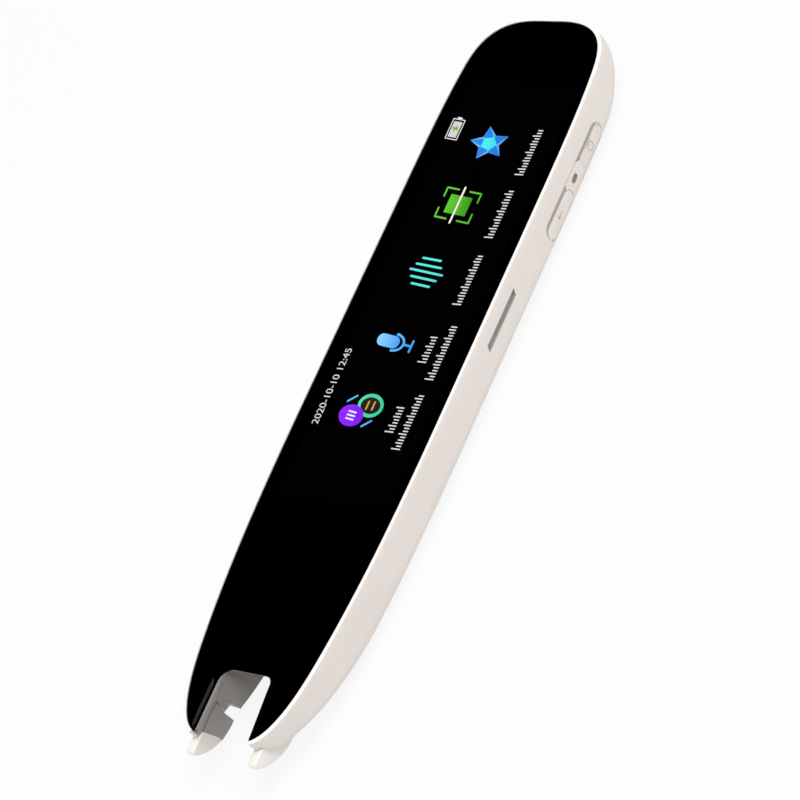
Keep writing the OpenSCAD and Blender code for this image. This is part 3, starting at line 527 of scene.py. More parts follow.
def clear_glass(name, tint, lets):
    """Clear glass that lets lamp light through to what lies under it."""
    m, tree, shader, where = material(name)
    shader.inputs["Base Color"].default_value = colour(tint)
    shader.inputs["IOR"].default_value = 1.006  # low, so that what lies under the glass keeps its place
    shader.inputs["Transmission Weight"].default_value = 1.0
    tree.links.new(between(tree, noise(tree, where, 40.0), 0.0, 0.0035), shader.inputs["Roughness"])
    out = next(n for n in tree.nodes if n.type == "OUTPUT_MATERIAL")
    pass_on = node(tree, "ShaderNodeBsdfTransparent", [("Color", colour(lets))])
    path = node(tree, "ShaderNodeLightPath")
    lighting = higher(tree, path.outputs["Is Shadow Ray"], path.outputs["Is Diffuse Ray"])
    mix = node(tree, "ShaderNodeMixShader", [(0, lighting), (1, shader.outputs[0]), (2, pass_on.outputs[0])])
    tree.links.new(mix.outputs[0], out.inputs["Surface"])
    return m


def lit(name, one, two, start=0.0, end=0.01):
    """A lit area of the screen whose colour runs from one tone to another between two places along X.

    Where no places are given, the tones meet at the pen's middle line.
    """
    m, tree, shader, where = material(name)
    parts = node(tree, "ShaderNodeSeparateXYZ", [(0, where)])
    run = node(tree, "ShaderNodeMapRange",
               [("Value", parts.outputs["X"]), ("From Min", start * MM), ("From Max", end * MM)])
    ramp = node(tree, "ShaderNodeValToRGB", [("Fac", run.outputs["Result"])])
    ramp.color_ramp.elements[0].color = colour(one)
    ramp.color_ramp.elements[1].color = colour(two)
    tree.links.new(ramp.outputs["Color"], shader.inputs["Emission Color"])
    shader.inputs["Emission Strength"].default_value = 1.0
    shader.inputs["Base Color"].default_value = (0.002, 0.002, 0.003, 1)
    tree.links.new(between(tree, noise(tree, where, 9 * PER_METRE), 0.5, 0.6), shader.inputs["Roughness"])
    shader.inputs["Specular IOR Level"].default_value = 0.1
    return m


SHELL = moulded("shell_white", "#E9E2DC", "#E6DED8", (0.30, 0.38), grain=9, bump=0.10)
# Painted shade: the tunnel's liner and the shell's faces inside the tunnel are a darker grey for the shade that falls
# in there.
HOOD_SHADE = moulded("hood_white", "#A09C98", "#9A9692", (0.42, 0.5), grain=9, bump=0.10)
RING = moulded("ring_white", "#F4F3F0", "#F0EEEA", (0.28, 0.34), grain=8, bump=0.08)
# Painted highlight: the narrow rim round the glass is painted near white, lighter than the rest of the shell.
RIM_HIGHLIGHT = moulded("rim_painted_highlight", "#FBF6F2", "#F8F2EE", (0.22, 0.28), grain=9, bump=0.06)
KEY = moulded("key_white", "#E9E1DB", "#E5DDD6", (0.32, 0.40), grain=9, bump=0.10)
BEZEL = moulded("bezel_white", "#E8E0DA", "#E4DCD6", (0.34, 0.42), grain=9, bump=0.10)
SKID = moulded("skid_milky", "#F4EEE9", "#F0EAE4", (0.30, 0.38), grain=5, bump=0.08, soft=0.2)
SKID_SHADE = moulded("skid_shade", "#9E9A96", "#999591", (0.36, 0.44), grain=5, bump=0.08)
METAL = brushed("brushed_metal", "#F4F3F0", "#DAD8D4", (0.34, 0.46), metal=0.35)
BADGE = moulded("badge_black", "#060607", "#0A0A0B", (0.08, 0.12), grain=3, bump=0.03, specular=0.2)
INK = moulded("black_ink", "#010102", "#020203", (0.45, 0.52), grain=12, bump=0.03, specular=0.0)
GLASS = clear_glass("cover_glass", "#FDFEFE", "#FFFFFF")
SMOKE = clear_glass("window_smoke", "#FFFFFE", "#D8D7D5")
SOFT_INK = moulded("soft_ink", "#1C1C1D", "#202021", (0.35, 0.42), grain=12, bump=0.03, specular=0.1)
SCREEN = moulded("screen_black", "#010102", "#020203", (0.45, 0.52), grain=12, bump=0.02, specular=0.0)
# Painted shade: grey for the card slot's walls and the fine groove in the tunnel's walls, for the shade inside them.
SLOT_SHADE = moulded("slot_painted_shade", "#A8A49F", "#A09C97", (0.5, 0.6), grain=9, bump=0.1)
# Painted shade: grey for the groove beside the keys and for the keys' upper flanks, where shade falls.
GROOVE_SHADE = moulded("groove_painted_shade", "#ADA8A3", "#A5A09B", (0.5, 0.6), grain=9, bump=0.1)
# Painted shade: darker for the microphone slot, for the shade inside a hole.
HOLE_SHADE = moulded("hole_painted_shade", "#9A948E", "#938D87", (0.6, 0.7), grain=9, bump=0.1)
MARK_GREY = moulded("mark_grey", "#D9CEC6", "#D2C7BE", (0.5, 0.6), grain=9, bump=0.1)
STEEL = brushed("drawn_steel", "#C9CBCD", "#B4B6B9", (0.24, 0.36), lines=9, stretch=25, bump=0.12)

# Finishes of the nodes that keep their own shape
FINISHES = {name: moulded(name, one, two, rough, **more) for name, one, two, rough, more in (
    ("black_foam", "#141415", "#1D1D1E", (0.85, 0.95), dict(grain=14, bump=0.6)),
    ("polyimide", "#B8721C", "#9C5E14", (0.3, 0.42), dict(grain=3, bump=0.1, coat=0.3)),
    ("frame_grey", "#4B4D50", "#404245", (0.5, 0.6), dict(grain=8, bump=0.25)),
    ("mesh_grey", "#B4B2AF", "#8E8C88", (0.4, 0.55), dict(grain=5, broad=4.0, bump=0.5, metal=0.3)),
    ("dark_cone", "#262628", "#303033", (0.6, 0.75), dict(grain=6, bump=0.3)),
    ("magnet", "#77797C", "#68696C", (0.35, 0.5), dict(grain=5, bump=0.2, metal=0.9)),
    ("board_green", "#1F5A39", "#174A2E", (0.32, 0.45), dict(grain=2, broad=0.9, bump=0.25, coat=0.4)),
    ("black_plastic", "#17181A", "#1F2022", (0.42, 0.52), dict(grain=9, bump=0.2)),
    ("cell_foil", "#B9BBBD", "#A5A7AA", (0.3, 0.45), dict(grain=2, broad=0.3, bump=0.35, metal=0.7)),
    ("grey_tape", "#8A8B8C", "#7C7D7E", (0.6, 0.7), dict(grain=6, bump=0.3)),
    ("lens_glass", "#0B0D14", "#141A26", (0.05, 0.1), dict(grain=1, bump=0.02, coat=0.6)),
    ("lamp_white", "#F2F0E2", "#E8E3C8", (0.3, 0.4), dict(grain=4, bump=0.05, soft=0.2)),
    ("yoke_white", "#E9E7E2", "#E3E1DB", (0.45, 0.52), dict(grain=7)),
    ("boot_rubber", "#1B1B1C", "#232324", (0.7, 0.85), dict(grain=7, bump=0.3)),
)}
FINISHES["drawn_steel"] = STEEL

# ---- Body shell ----

SIDE_WALL, BACK_WALL = 1.4, 1.9
RECESS_LEN, RECESS_H, RECESS_D, RECESS_FLOOR = 25.2, 4.0, 6.4, 12.2


def outer_form(inset):
    """The pen's outer form, with its sides drawn in by a little."""
    return loft([pen_ring(s, RIM - inset, 0) for s in stations(26, 64)])


def shell_cavity():
    """The room inside the shell, which leaves the rails solid."""
    cavity = as_object("cavity", loft([pen_ring(s, RIM - SIDE_WALL, BACK_WALL) for s in stations(14, 30)]))
    rails = block((-20, nose(-1), dz(RAIL_D)), (20, nose(GLASS_LEN - RAIL_S - 0.1), OVER))
    return carve(cavity, [rails])


def tunnel_block(half=TUNNEL_HALF):
    """Sloping tunnel between the legs, with crisp corners at its end wall."""
    return loft([[(x, y, dz(d)) for x, y in u_points(half, tunnel_len(d), 0.35)] for d in (13.0, -0.5)])


def tunnel_seam():
    """Fine groove high in the tunnel's walls, right round its end; in the shell most of it takes the slot's painted
    shade.
    """
    return tinted(prism(u_points(TUNNEL_HALF + SEAM, 13.5 + SEAM, 0.4), dz(1.96), dz(1.84)), 1)


def leg_tip_cut(side):
    """Takes the inner corner off the end of a leg."""
    tip, r = nose(-0.62), 2.6
    round_off = ([(6.2, tip - 1), (6.2, tip + r)] + arc(TUNNEL_HALF + r, tip + r, r, 180, 270, 12)
                 + [(TUNNEL_HALF + r, tip - 1)])
    points = [(side * x, y) for x, y in round_off]
    return prism(points if side < 0 else points[::-1], UNDER, OVER)


def skid_room():
    """The room in both legs in which the skids slide."""
    room = []
    for side in (-1, 1):
        for low, high in (((6.45, nose(-4), -1), (8.5, nose(9), dz(RAIL_D))),
                          ((6.2, nose(-5), -1.1), (7.0, nose(7.53), dz(RAIL_D) - 0.003)),
                          ((6.6, nose(4.3), dz(4.2)), (9.4, nose(8.99), dz(RAIL_D) - 0.001))):
            x = sorted((side * low[0], side * high[0]))
            room.append(block((x[0], low[1], low[2]), (x[1], high[1], high[2])))
    return room


def key_mouth():
    """Opening for the key insert, with a fine chamfer where it leaves the side."""
    rings = []
    for inset, grow in ((None, 0), (0.1, 0), (0.0, 0.05), (-1.0, 0.5)):
        ring = []
        for y, z in obround(RECESS_LEN + 2 * grow, RECESS_H + 2 * grow, 14):
            s = RECESS_S - y
            x = RECESS_FLOOR if inset is None else body_half(s) - inset
            ring.append((x, st(s), dz(RECESS_D) + z))
        rings.append(ring)
    return loft(rings)


def card_mouth():
    """Card slot with slanting ends, which opens out where it leaves the side."""
    rings = []
    for inset, grow in ((0.5, 0), (0.12, 0), (0.0, 0.08), (-1.0, 0.6)):
        hw, hh, slant = 6.05 + grow, 0.6 + grow, 0.35
        at = [(-hw - slant, -hh), (hw - slant, -hh), (hw + slant, hh), (slant - hw, hh)]
        rings.append([(body_half(CARD_S) - inset, st(CARD_S) + y, dz(3.8) + z) for y, z in at])
    return loft(rings)


def usb_mouth():
    """Opening for the charging socket, which opens out at the top end."""
    rings = []
    for s, grow in ((8.6, 0), (-0.4, 0), (-0.62, 0.14), (-1.6, 0.9)):
        rings.append([(x, st(s), dz(4.35) + z) for x, z in obround(9.14 + 2 * grow, 3.46 + 2 * grow, 12)])
    return loft(rings)


def panel_points(g):
    """Outline of the brushed panel, grown by g; it narrows towards the nose."""
    r = 3.0
    right = arc(8.85 - r, st(PANEL_S + r), r + g, 90, 0, 12)
    right += [(8.4 + g, st(109.0))]
    right += arc(7.5 - r, st(124.0 - r), r + g, -8, -90, 12)
    return mirrored(right)


def badge_points(g):
    """Outline of the loudspeaker badge, grown by g; it ends a little inside the panel's."""
    r, low = 4.5, st(PANEL_S + 1.5)
    right = arc(7.85 - r, st(12.2 + r), r + g, 90, 0, 12)
    return mirrored(right + [(8.55 + g, low), (5.85, low)])


def shell_moulding():
    """One-piece shell with its two legs, its pockets and its openings."""
    # Material numbers: 1 the slot's painted shade, 2 the rim's painted highlight, 3 the tunnel's painted shade.
    slot, rim, tunnel = 1, 2, 3
    whole = outer_form(0)
    # Painted highlight: the top faces of the rim beside the glass take the rim's lighter colour.
    for f in whole.faces:
        if f.calc_center_median().z > BODY_T - 0.15:
            f.material_index = rim
    shell = give_materials(as_object("shell_moulding", whole), (SHELL, SLOT_SHADE, RIM_HIGHLIGHT, HOOD_SHADE))
    cutters = [prism(outline(0), dz(1.15), OVER), shell_cavity(), tinted(tunnel_block(), tunnel),
               prism(u_points(7.7, 18.2, 3.2), UNDER, dz(RAIL_D)), leg_tip_cut(-1), leg_tip_cut(1), tunnel_seam()]
    cutters += skid_room()
    cutters += [prism(pocket, UNDER, 1.1) for pocket in (panel_points(0.6), badge_points(0.6))]
    for r, z0, z1 in ((6.7, 0.5, 2.5), (7.4, 1.9, 4.65)):
        cutters.append(prism(arc(0, st(SPEAKER_S), r, 0, 360 - 7.5, 47), z0, z1))
    # The card slot's walls take the slot's painted shade.
    cutters += [key_mouth(), tinted(card_mouth(), slot), usb_mouth()]
    carve(shell, cutters)
    # Painted shade: the legs' inner faces just under the glass at the nose take the tunnel's darker colour.
    for f in shell.data.polygons:
        x, y, z = f.center / MM
        faces_in = f.normal.x * x < -0.3 * abs(x)
        if faces_in and abs(x) < INNER_SIDE and y < nose(3) and z > dz(2.2):
            f.material_index = tunnel
    dress(shell, "body", (), ["body_shell"], angle=24)


shell_moulding()

# ---- Front glass with its ink ----

def window_points():
    """Clear window over the tunnel; it narrows a little towards its end."""
    right = [(7.4, nose(OPEN_END)), (7.3, nose(0.05)), (6.4, nose(0.4)), (5.8, nose(1.15)), (5.05, nose(10))]
    return (right + arc(4.95 - 1.6, nose(WINDOW_END - 1.6), 1.6, 0, 90)
            + arc(2.9 - WINDOW_LEFT, nose(WINDOW_END - 2.9), 2.9, 90, 180) + [(-WINDOW_LEFT, nose(OPEN_END))])


def glass_pane():
    """Pane with a rounded front edge; ink covers its underside but for the screen and the window."""
    clear, ink, smoke, soft_ink = range(4)
    bm = prism(outline(-0.05), dz(GLASS_T), BODY_T)
    soften(bm, 0.22, 60, 3, keep=lambda e: min(v.co.z for v in e.verts) > BODY_T - 0.01)
    for f in bm.faces:
        at = f.calc_center_median()
        if abs(at.x) < 6.6 and at.y < nose(1):
            f.material_index = ink if f.normal.z < -0.9 else smoke
        else:
            f.material_index = ink if f.normal.z < 0.1 else clear
    pane = give_materials(as_object("front_pane", bm), (GLASS, INK, SMOKE, SOFT_INK))
    low, thin = dz(1.5), 0.015
    strip = [(-8.4, nose(2.2)), (-8.4, nose(11.0)), (-7.6, nose(10.4)), (-7.6, nose(1.2))]
    carve(pane, [tinted(block((-13.05, st(103.2), low), (13.05, st(14.0), dz(GLASS_T - thin))), clear),
                 tinted(prism(window_points(), low, dz(GLASS_T - thin)), smoke),
                 tinted(prism(strip, low, dz(0.99)), soft_ink)])
    dress(pane, "body", (), ["front_glass"], angle=40)


glass_pane()

# ---- Screen and what it shows ----

# The pictures lie a little over the screen, are this thick, and are all shifted and made to lean by the same amounts.
SCREEN_Z = dz(GLASS_T) - 0.05
LIFT, LIT_T = 0.003, 0.02
SHIFT_X, SHIFT_Y, SLANT = 0.39, 0.2, 0.12


def box_mm(node_name):
    """A node's box in millimetres."""
    return [[c / MM for c in corner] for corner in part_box(node_name)]


def screen_panel():
    """Display that ends just under the glass."""
    low, high = box_mm("display_panel")
    bm = soften(block(low, (high[0], high[1], SCREEN_Z)), 0.02, 60)
    dress(as_object("screen_panel", bm), "body", [SCREEN], ["display_panel"])


screen_panel()


def tile(points, base=0.0, about=None):
    """Thin lit shape on the screen; points are X and distance from the glass's top end."""
    z = SCREEN_Z + LIFT + base
    if about is not None:
        points = [(x, y - SLANT * (x - about)) for x, y in points]
    return prism([(x - SHIFT_X, TOP_Y + SHIFT_Y + y) for x, y in points], z, z + LIT_T)


def joined(parts):
    """One mesh from several, each with the number of its material."""
    bm = bmesh.new()
    for part, index in parts:
        mesh = as_mesh("part", tinted(part, index))
        bm.from_mesh(mesh)
        bpy.data.meshes.remove(mesh)
    return bm


def picture(name, parts, materials):
    """Lit picture on the screen."""
    dress(as_object(name, joined(parts)), "body", materials)


def bar(x0, y0, x1, y1, w, steps=6):
    """Round-ended line from one point to another."""
    a = math.degrees(math.atan2(y1 - y0, x1 - x0))
    return arc(x1, y1, w / 2, a - 90, a + 90, steps) + arc(x0, y0, w / 2, a + 90, a + 270, steps)


def ellipse(cx, cy, rx, ry):
    angles = [2 * math.pi * i / 48 for i in range(48)]
    return [(cx + rx * math.cos(a), cy + ry * math.sin(a)) for a in angles]


def hoop(cx, cy, rx, ry, w, half=False, base=0.0):
    """Band of an ellipse, whole or only its right half."""
    bm = bmesh.new()
    for k in (0, w):
        loop = bmesh.ops.create_circle(bm, cap_ends=False, radius=1, segments=64)["verts"]
        bmesh.ops.scale(bm, vec=(rx - k, ry - k, 1), verts=loop)
    bmesh.ops.bridge_loops(bm, edges=bm.edges[:])
    if half:
        bmesh.ops.bisect_plane(bm, geom=bm.verts[:] + bm.edges[:] + bm.faces[:], plane_co=(0, 0, 0),
                               plane_no=(-1, 0, 0), clear_outer=True)
    for v in bm.verts:
        v.co = (cx + v.co.x - SHIFT_X, TOP_Y + SHIFT_Y + cy + v.co.y - SLANT * v.co.x, SCREEN_Z + LIFT + base)
    up = bmesh.ops.extrude_face_region(bm, geom=bm.faces[:])["geom"]
    for v in up:
        if isinstance(v, bmesh.types.BMVert):
            v.co.z += LIT_T
    return outward(bm)


def star_picture():
    """Five-pointed star in two tones with a pale heart."""
    cx, cy, rx, ry = -1.45, -27.35, 4.75, 3.75

    def at(k, f):
        a = math.radians(36 * k)
        return (cx - rx * f * math.cos(a), cy + ry * f * math.sin(a))

    parts = []
    for k in range(0, 10, 2):
        parts.append((tile([at(k, 1), at(k + 1, 0.40), at(k - 1, 0.40)], about=cx), 0))
        for side in (-1, 1):
            pale = (k, side) in ((0, 1), (0, -1), (2, 1), (4, 1), (8, -1), (6, -1))
            edge = [at(k, 1), at(k + side, 0.53), at(k + side, 0.38)]
            parts.append((tile(edge, base=0.004, about=cx), 2 if pale else 1))
    parts.append((tile([at(k, 0.42) for k in range(1, 11, 2)], base=0.012, about=cx), 3))
    picture("star_picture", parts, [
        lit("star_blue", "#1E86F4", "#0F6CDC", cx - 4, cx + 4),
        lit("star_mid", "#2F93F2", "#1C7CE4", cx - 4, cx + 4),
        lit("star_pale", "#6CC0F8", "#58AEF2", cx - 4, cx + 4),
        lit("star_heart", "#50F0F0", "#38D8EC", cx - 2, cx + 2)])


def scan_picture():
    """Four corners round a square, with a line across."""
    cx, cy, hx, hy, w = -2.05, -41.05, 4.3, 3.2, 0.36
    parts = []
    for sx in (-1, 1):
        for sy in (-1, 1):
            x, y = cx + sx * hx, cy + sy * hy
            parts.append((tile(bar(x, y, x - sx * 2.9, y, w), about=cx), 0))
            parts.append((tile(bar(x, y, x, y - sy * 1.9, w), base=0.002, about=cx), 0))
    hx, hy = 2.7, 2.0
    square = [(cx - hx, cy - hy), (cx + hx, cy - hy), (cx + hx, cy + hy), (cx - hx, cy + hy)]
    parts.append((tile(square, about=cx), 1))
    parts.append((tile(bar(cx - 0.1, cy - 3.85, cx - 0.1, cy + 3.85, 0.44), base=0.02), 2))
    picture("scan_picture", parts, [
        lit("scan_green", "#68CC34", "#56BC1E", cx - 4, cx + 4),
        lit("scan_leaf", "#5CCB12", "#2F8E00", cx - 3, cx + 3),
        lit("scan_line", "#FBEFEA", "#FFFFFF")])


def sound_picture():
    """Five slanting bars."""
    rows = ((-5.1, -0.3, -52.5, -52.9), (-6.0, 0.55, -53.8, -54.4), (-6.9, 1.5, -55.0, -55.9),
            (-6.0, 0.65, -56.5, -57.2), (-5.1, -0.3, -58.0, -58.5))
    parts = [(tile(bar(x0 + 0.62, y0 - 0.24, x1 + 0.28, y1 - 0.24, 0.46)), 0) for x0, x1, y0, y1 in rows]
    picture("sound_picture", parts, [lit("sound_teal", "#55E8DE", "#45DCD4")])


def microphone_picture():
    """Microphone on its stand, lying on its side."""
    cx, cy = -3.4, -70.65
    parts = [(tile(bar(-5.15, cy, -2.15, cy, 2.55, 12), about=cx), 0),
             (hoop(-2.3, cy - 0.12, 2.75, 1.95, 0.5, half=True, base=0.004), 1),
             (tile(bar(0.3, cy, 2.1, cy, 0.46), base=0.002, about=cx), 1),
             (tile(bar(2.2, cy - 1.1, 2.2, cy + 1.1, 0.5), about=cx), 1)]
    picture("microphone_picture", parts, [
        lit("microphone_blue", "#8ED2FF", "#2A98F4", -6.6, -0.6),
        lit("microphone_stand", "#56B2FA", "#3CA0F4")])


def ring_picture():
    """Two overlapping discs, one of them a ring, with plain strokes in and beside them."""
    parts = [(tile(ellipse(-4.3, -86.5, 2.98, 2.2), base=0.035, about=-4.3), 0),
             (hoop(-0.85, -84.1, 3.1, 2.4, 0.72, base=0.012), 1),
             (tile(ellipse(-0.85, -84.1, 2.48, 1.78), base=0.008, about=-0.85), 2),
             (tile(bar(-6.6, -83.7, -4.9, -82.4, 0.4)), 3),
             (tile(bar(-0.8, -88.4, 0.9, -87.1, 0.4)), 3)]
    for k in (-0.75, 0, 0.75):
        parts.append((tile(bar(-5.2, -86.5 + k, -3.4, -86.5 + k, 0.32), base=0.05, about=-4.3), 4))
    for x in (-1.55, -0.15):
        parts.append((tile(bar(x, -84.9, x, -83.3, 0.36), base=0.02), 5))
    picture("ring_picture", parts, [
        lit("ring_purple", "#9410FF", "#7E00F4", -7, -2),
        lit("ring_teal", "#4CE0A8", "#3AC894", -4, 2),
        lit("ring_dark", "#04110C", "#04110C"),
        lit("ring_dash", "#5CB8FF", "#4AA8F8"),
        lit("ring_white", "#F4EEFF", "#FFFFFF"),
        lit("ring_amber", "#F0A41C", "#E89410")])


def battery_picture():
    """Battery sign with a charging bolt."""
    x0, x1, y0, y1 = -12.6, -9.65, -26.75, -22.35
    cx, parts = (x0 + x1) / 2, []
    for a, b in (((x0, y0), (x1, y0)), ((x1, y0), (x1, y1)), ((x1, y1), (x0, y1)), ((x0, y1), (x0, y0))):
        parts.append((tile(bar(a[0], a[1], b[0], b[1], 0.17), about=cx), 0))
    inner = [(x0 + 0.42, y0 + 0.42), (x1 - 0.42, y0 + 0.42), (x1 - 0.42, y1 - 0.5), (x0 + 0.42, y1 - 0.5)]
    parts.append((tile(inner, about=cx), 1))
    parts.append((tile(bar(cx - 0.45, y1 + 0.33, cx + 0.45, y1 + 0.33, 0.34), about=cx), 0))
    bolt = [(-12.0, -24.0), (-11.2, -25.2), (-11.05, -24.6), (-10.2, -24.75), (-11.0, -23.6), (-11.15, -24.2)]
    parts.append((tile(bolt, base=0.012, about=cx), 2))
    picture("battery_picture", parts, [
        lit("battery_white", "#F2F2F2", "#FFFFFF"),
        lit("battery_fill", "#D6D4D4", "#CFCDCE"),
        lit("battery_green", "#66B82E", "#5AA828")])


def label_bars():
    """Rows of plain upright bars where the labels stand."""
    parts = []
    lines = ((9.3, -33.7, -24.0), (8.9, -47.4, -37.4), (8.6, -61.8, -51.5), (6.7, -74.2, -69.0),
             (10.1, -77.5, -66.5), (6.5, -88.8, -83.8), (9.7, -92.0, -81.0))
    for x, y0, y1 in lines:
        count = round((y1 - y0) / 0.62)
        for k in range(count + 1):
            y = y0 + (y1 - y0) * k / count
            tall = (0.62, 0.5, 0.85, 0.5, 0.5, 0.74)[(k + round(y1)) % 6] if k else 0.95
            parts.append((tile(bar(x + 0.5 - 2 * tall, y, x + 0.5, y, 0.24, 3)), 0))
    picture("label_bars", parts, [lit("label_white", "#D8D8D8", "#E0E0E0")])


def clock_digits():
    """Plain figures of the date and the time."""
    curve = bpy.data.curves.new("clock_digits", "FONT")
    curve.body, curve.size, curve.align_x = "2020-10-10 12:45", 2.28 * MM, "CENTER"
    curve.extrude = 0.005 * MM
    text = placed("clock_text", curve)
    mesh = final_mesh(text)
    bpy.data.objects.remove(text)
    mesh.transform(Matrix(((0, -1, 0, -11.54 * MM), (1, 0, 0, (TOP_Y - 80.8) * MM),
                           (0, 0, 1, (SCREEN_Z + 0.02) * MM), (0, 0, 0, 1))))
    dress(placed("clock_digits", mesh), "body", [lit("clock_white", "#DCDCDC", "#E6E6E6")])


star_picture()
scan_picture()
sound_picture()
microphone_picture()
ring_picture()
battery_picture()
label_bars()
clock_digits()

# ---- Nose: the tunnel's liner, the skids and their spring ----

def tunnel_hood():
    """Liner of the tunnel, with skins that close the gap to the skids and a shelf under the window's left edge."""
    bm = soften(merged("scan_hood"), 0.12, 35)
    skins = [block((x, nose(7.3), dz(5.1)), (x + 0.14, nose(9.05), dz(2.05))) for x in (-6.45, 6.31)]
    shelf = ([(-6.31, nose(1.4)), (-6.31, nose(12.1))] + arc(2.9 - 6.93, nose(10.3), 2.9, 142, 180)
             + [(-6.93, nose(0.5))])
    skins.append(prism(shelf, dz(1.3), dz(0.992)))
    # The liner takes the tunnel's painted shade.
    piece = give_materials(as_object("tunnel_hood", joined([(part, 0) for part in [bm] + skins])), [HOOD_SHADE])
    carve(piece, [tunnel_block(TUNNEL_HALF - 0.001), tunnel_seam()])
    dress(piece, "body", (), ["scan_hood"])


def skid_moulding(name, node_name):
    """Skid: a flat top, a rounded tip, a long round edge, and its rims rounded on both sides.

    Its inner side is in the shade beyond a slanting line.
    """
    shade = 1
    low, high = box_mm(node_name)
    cy, cz, r, tip_r = nose(6.013), 13.55, 10.3, 0.7
    tip = math.asin((cz - high[2] + tip_r) / (r - tip_r))
    start = 180 + math.degrees(tip)
    profile = [(high[1], high[2])] + arc(cy - (r - tip_r) * math.cos(tip), high[2] - tip_r, tip_r, 90, start, 8)
    profile += arc(cy, cz, r, start, 273.8, 40)[1:] + [(nose(6.7), 6.4)]
    bm = turned(prism(profile, low[0], high[0]))
    soften(bm, 0.5, 40, 4, keep=lambda e: abs(e.verts[0].co.x - e.verts[1].co.x) < 1e-4)
    line, slope = nose(0.81), 0.2354
    bmesh.ops.bisect_plane(bm, geom=bm.verts[:] + bm.edges[:] + bm.faces[:],
                           plane_co=(0, line, BODY_T), plane_no=(0, 1, slope))
    for f in bm.faces:
        at = f.calc_center_median()
        if abs(at.x) < INNER_SIDE and at.y - line + slope * (at.z - BODY_T) > 0:
            f.material_index = shade
    dress(as_object(name, bm), "nib", (SKID, SKID_SHADE), [node_name])


def return_spring():
    """Spring behind the yoke, with a mesh of its own."""
    piece = dress(as_object("return_spring", merged("nib_spring")), "body", [STEEL], ["nib_spring"])
    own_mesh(piece)


tunnel_hood()
skid_moulding("right_skid_moulding", "right_skid")
skid_moulding("left_skid_moulding", "left_skid")
return_spring()

# ---- Keys and the insert round them ----

KEY_MATERIALS = (KEY, GROOVE_SHADE, MARK_GREY)
INSERT_MATERIALS = (BEZEL, GROOVE_SHADE, HOLE_SHADE)


def key_cap(node_name, marks):
    """Key with a rounded face, painted shade on its upper flank, its mark cut in and, on the power key, a ring round
    it.
    """
    flank, mark = 1, 2
    bm = merged(node_name)
    face = max(v.co.x for v in bm.verts)
    ring = Vector((face, st(POWER_S), KEY_Z))
    # Painted shade: the upper flank's faces take the groove's grey; the ring's faces take the mark's colour.
    for f in bm.faces:
        at = f.calc_center_median()
        if face - 0.2 < at.x < face - 0.03 and (at - ring).length < 1.2:
            f.material_index = mark
        elif f.normal.z > 0.35 and at.x > face - 3:
            f.material_index = flank
    soften(bm, 0.14, 50, 3, keep=lambda e: e.verts[0].co.x > face - 0.05
           and max((v.co - ring).length for v in e.verts) > 1.3)
    piece = give_materials(as_object(node_name + "_cap", bm), KEY_MATERIALS)
    carve(piece, [turned(tinted(prism(line, face - 0.12, face + 1), mark)) for line in marks])
    dress(piece, node_name, (), [node_name])


def key_caps():
    """Power key with an upright stroke, and back key with an arrow."""
    y, z = st(POWER_S), KEY_Z
    key_cap("power_key", [[(y - 0.1, z + 0.2), (y + 0.1, z + 0.2), (y + 0.1, z + 1.25), (y - 0.1, z + 1.25)]])
    y = st(BACK_S)
    shaft = [(y - 0.9, z - 0.09), (y + 0.9, z - 0.09), (y + 0.9, z + 0.09), (y - 0.9, z + 0.09)]
    head = [(y - 1.0, z), (y - 0.4, z + 0.56), (y - 0.27, z + 0.44), (y - 0.74, z), (y - 0.27, z - 0.44),
            (y - 0.4, z - 0.56)]
    key_cap("back_key", [shaft, head])


def key_insert():
    """Insert that fills the recess round the keys, with a groove in painted shade on their glass side and the
    microphone slot.
    """
    groove_painted_shade, hole_painted_shade = 1, 2
    piece = give_materials(as_object("key_insert", merged("key_bezel")), INSERT_MATERIALS)
    carve(piece, [outer_form(0.5)], "INTERSECT")
    shape = [(st(RECESS_S) + y, dz(6.45) + z) for y, z in obround(RECESS_LEN - 0.1, RECESS_H - 0.1, 14)]
    cover = give_materials(as_object("cover", turned(prism(shape, 15.63, 18))), INSERT_MATERIALS)
    # Painted shade: the microphone slot is a shallow cut painted darker for the shade inside a hole.
    y, z = st(BRIDGE_S) - 0.35, dz(6.1) + 0.05
    slot = [(y + a, z + b) for a, b in obround(1.95, 1.22, 10)]
    grooves, wells = [], [turned(tinted(prism(slot, 16.58, 18.4), hole_painted_shade))]
    for s, length, floor_x in ((POWER_S, 9.0, 16.62), (BACK_S, 10.4, 16.82)):
        low, high = st(s) - length / 2, st(s) + length / 2
        groove = [(low + 0.9, dz(5.6)), (high - 0.9, dz(5.6)), (high - 0.05, dz(4.3))]
        if s < BRIDGE_S:
            groove.append((low - 0.8, dz(4.3)))
        else:
            groove += [(low - 0.4, dz(4.3)), (low - 0.4, dz(6.6)), (low + 0.9, dz(6.6))]
        grooves.append(turned(tinted(prism(groove, floor_x, 18.3), groove_painted_shade)))
        well = [(st(s) + y, KEY_Z + z) for y, z in obround(length + 0.08, 2.98, 16)]
        wells.append(turned(prism(well, 15.0, 18.2)))
    carve(cover, [outer_form(0.07)], "INTERSECT")
    carve(cover, grooves + wells)
    bm = bmesh.new()
    for part in (piece, cover):
        bm.from_mesh(part.data)
    bm.to_mesh(piece.data)
    bm.free()
    bpy.data.objects.remove(cover)
    dress(piece, "body", (), ["key_bezel"])


key_caps()
key_insert()

# ---- Pieces that keep their node's shape with finer edges ----

def finer(name, node_name, look, width):
    """Rounds the sharp edges of a node's own shape."""
    dress(as_object(name, soften(merged(node_name), width, 50)), "body", [look], [node_name])


finer("inlay_ring", "inlay_frame", RING, 0.08)
finer("brushed_plate", "brushed_panel", METAL, 0.1)
finer("sound_badge_plate", "sound_badge", BADGE, 0.06)
finer("socket_shell", "usb_socket", STEEL, 0.08)

# ---- Every other node keeps its shape and gets its own finish ----

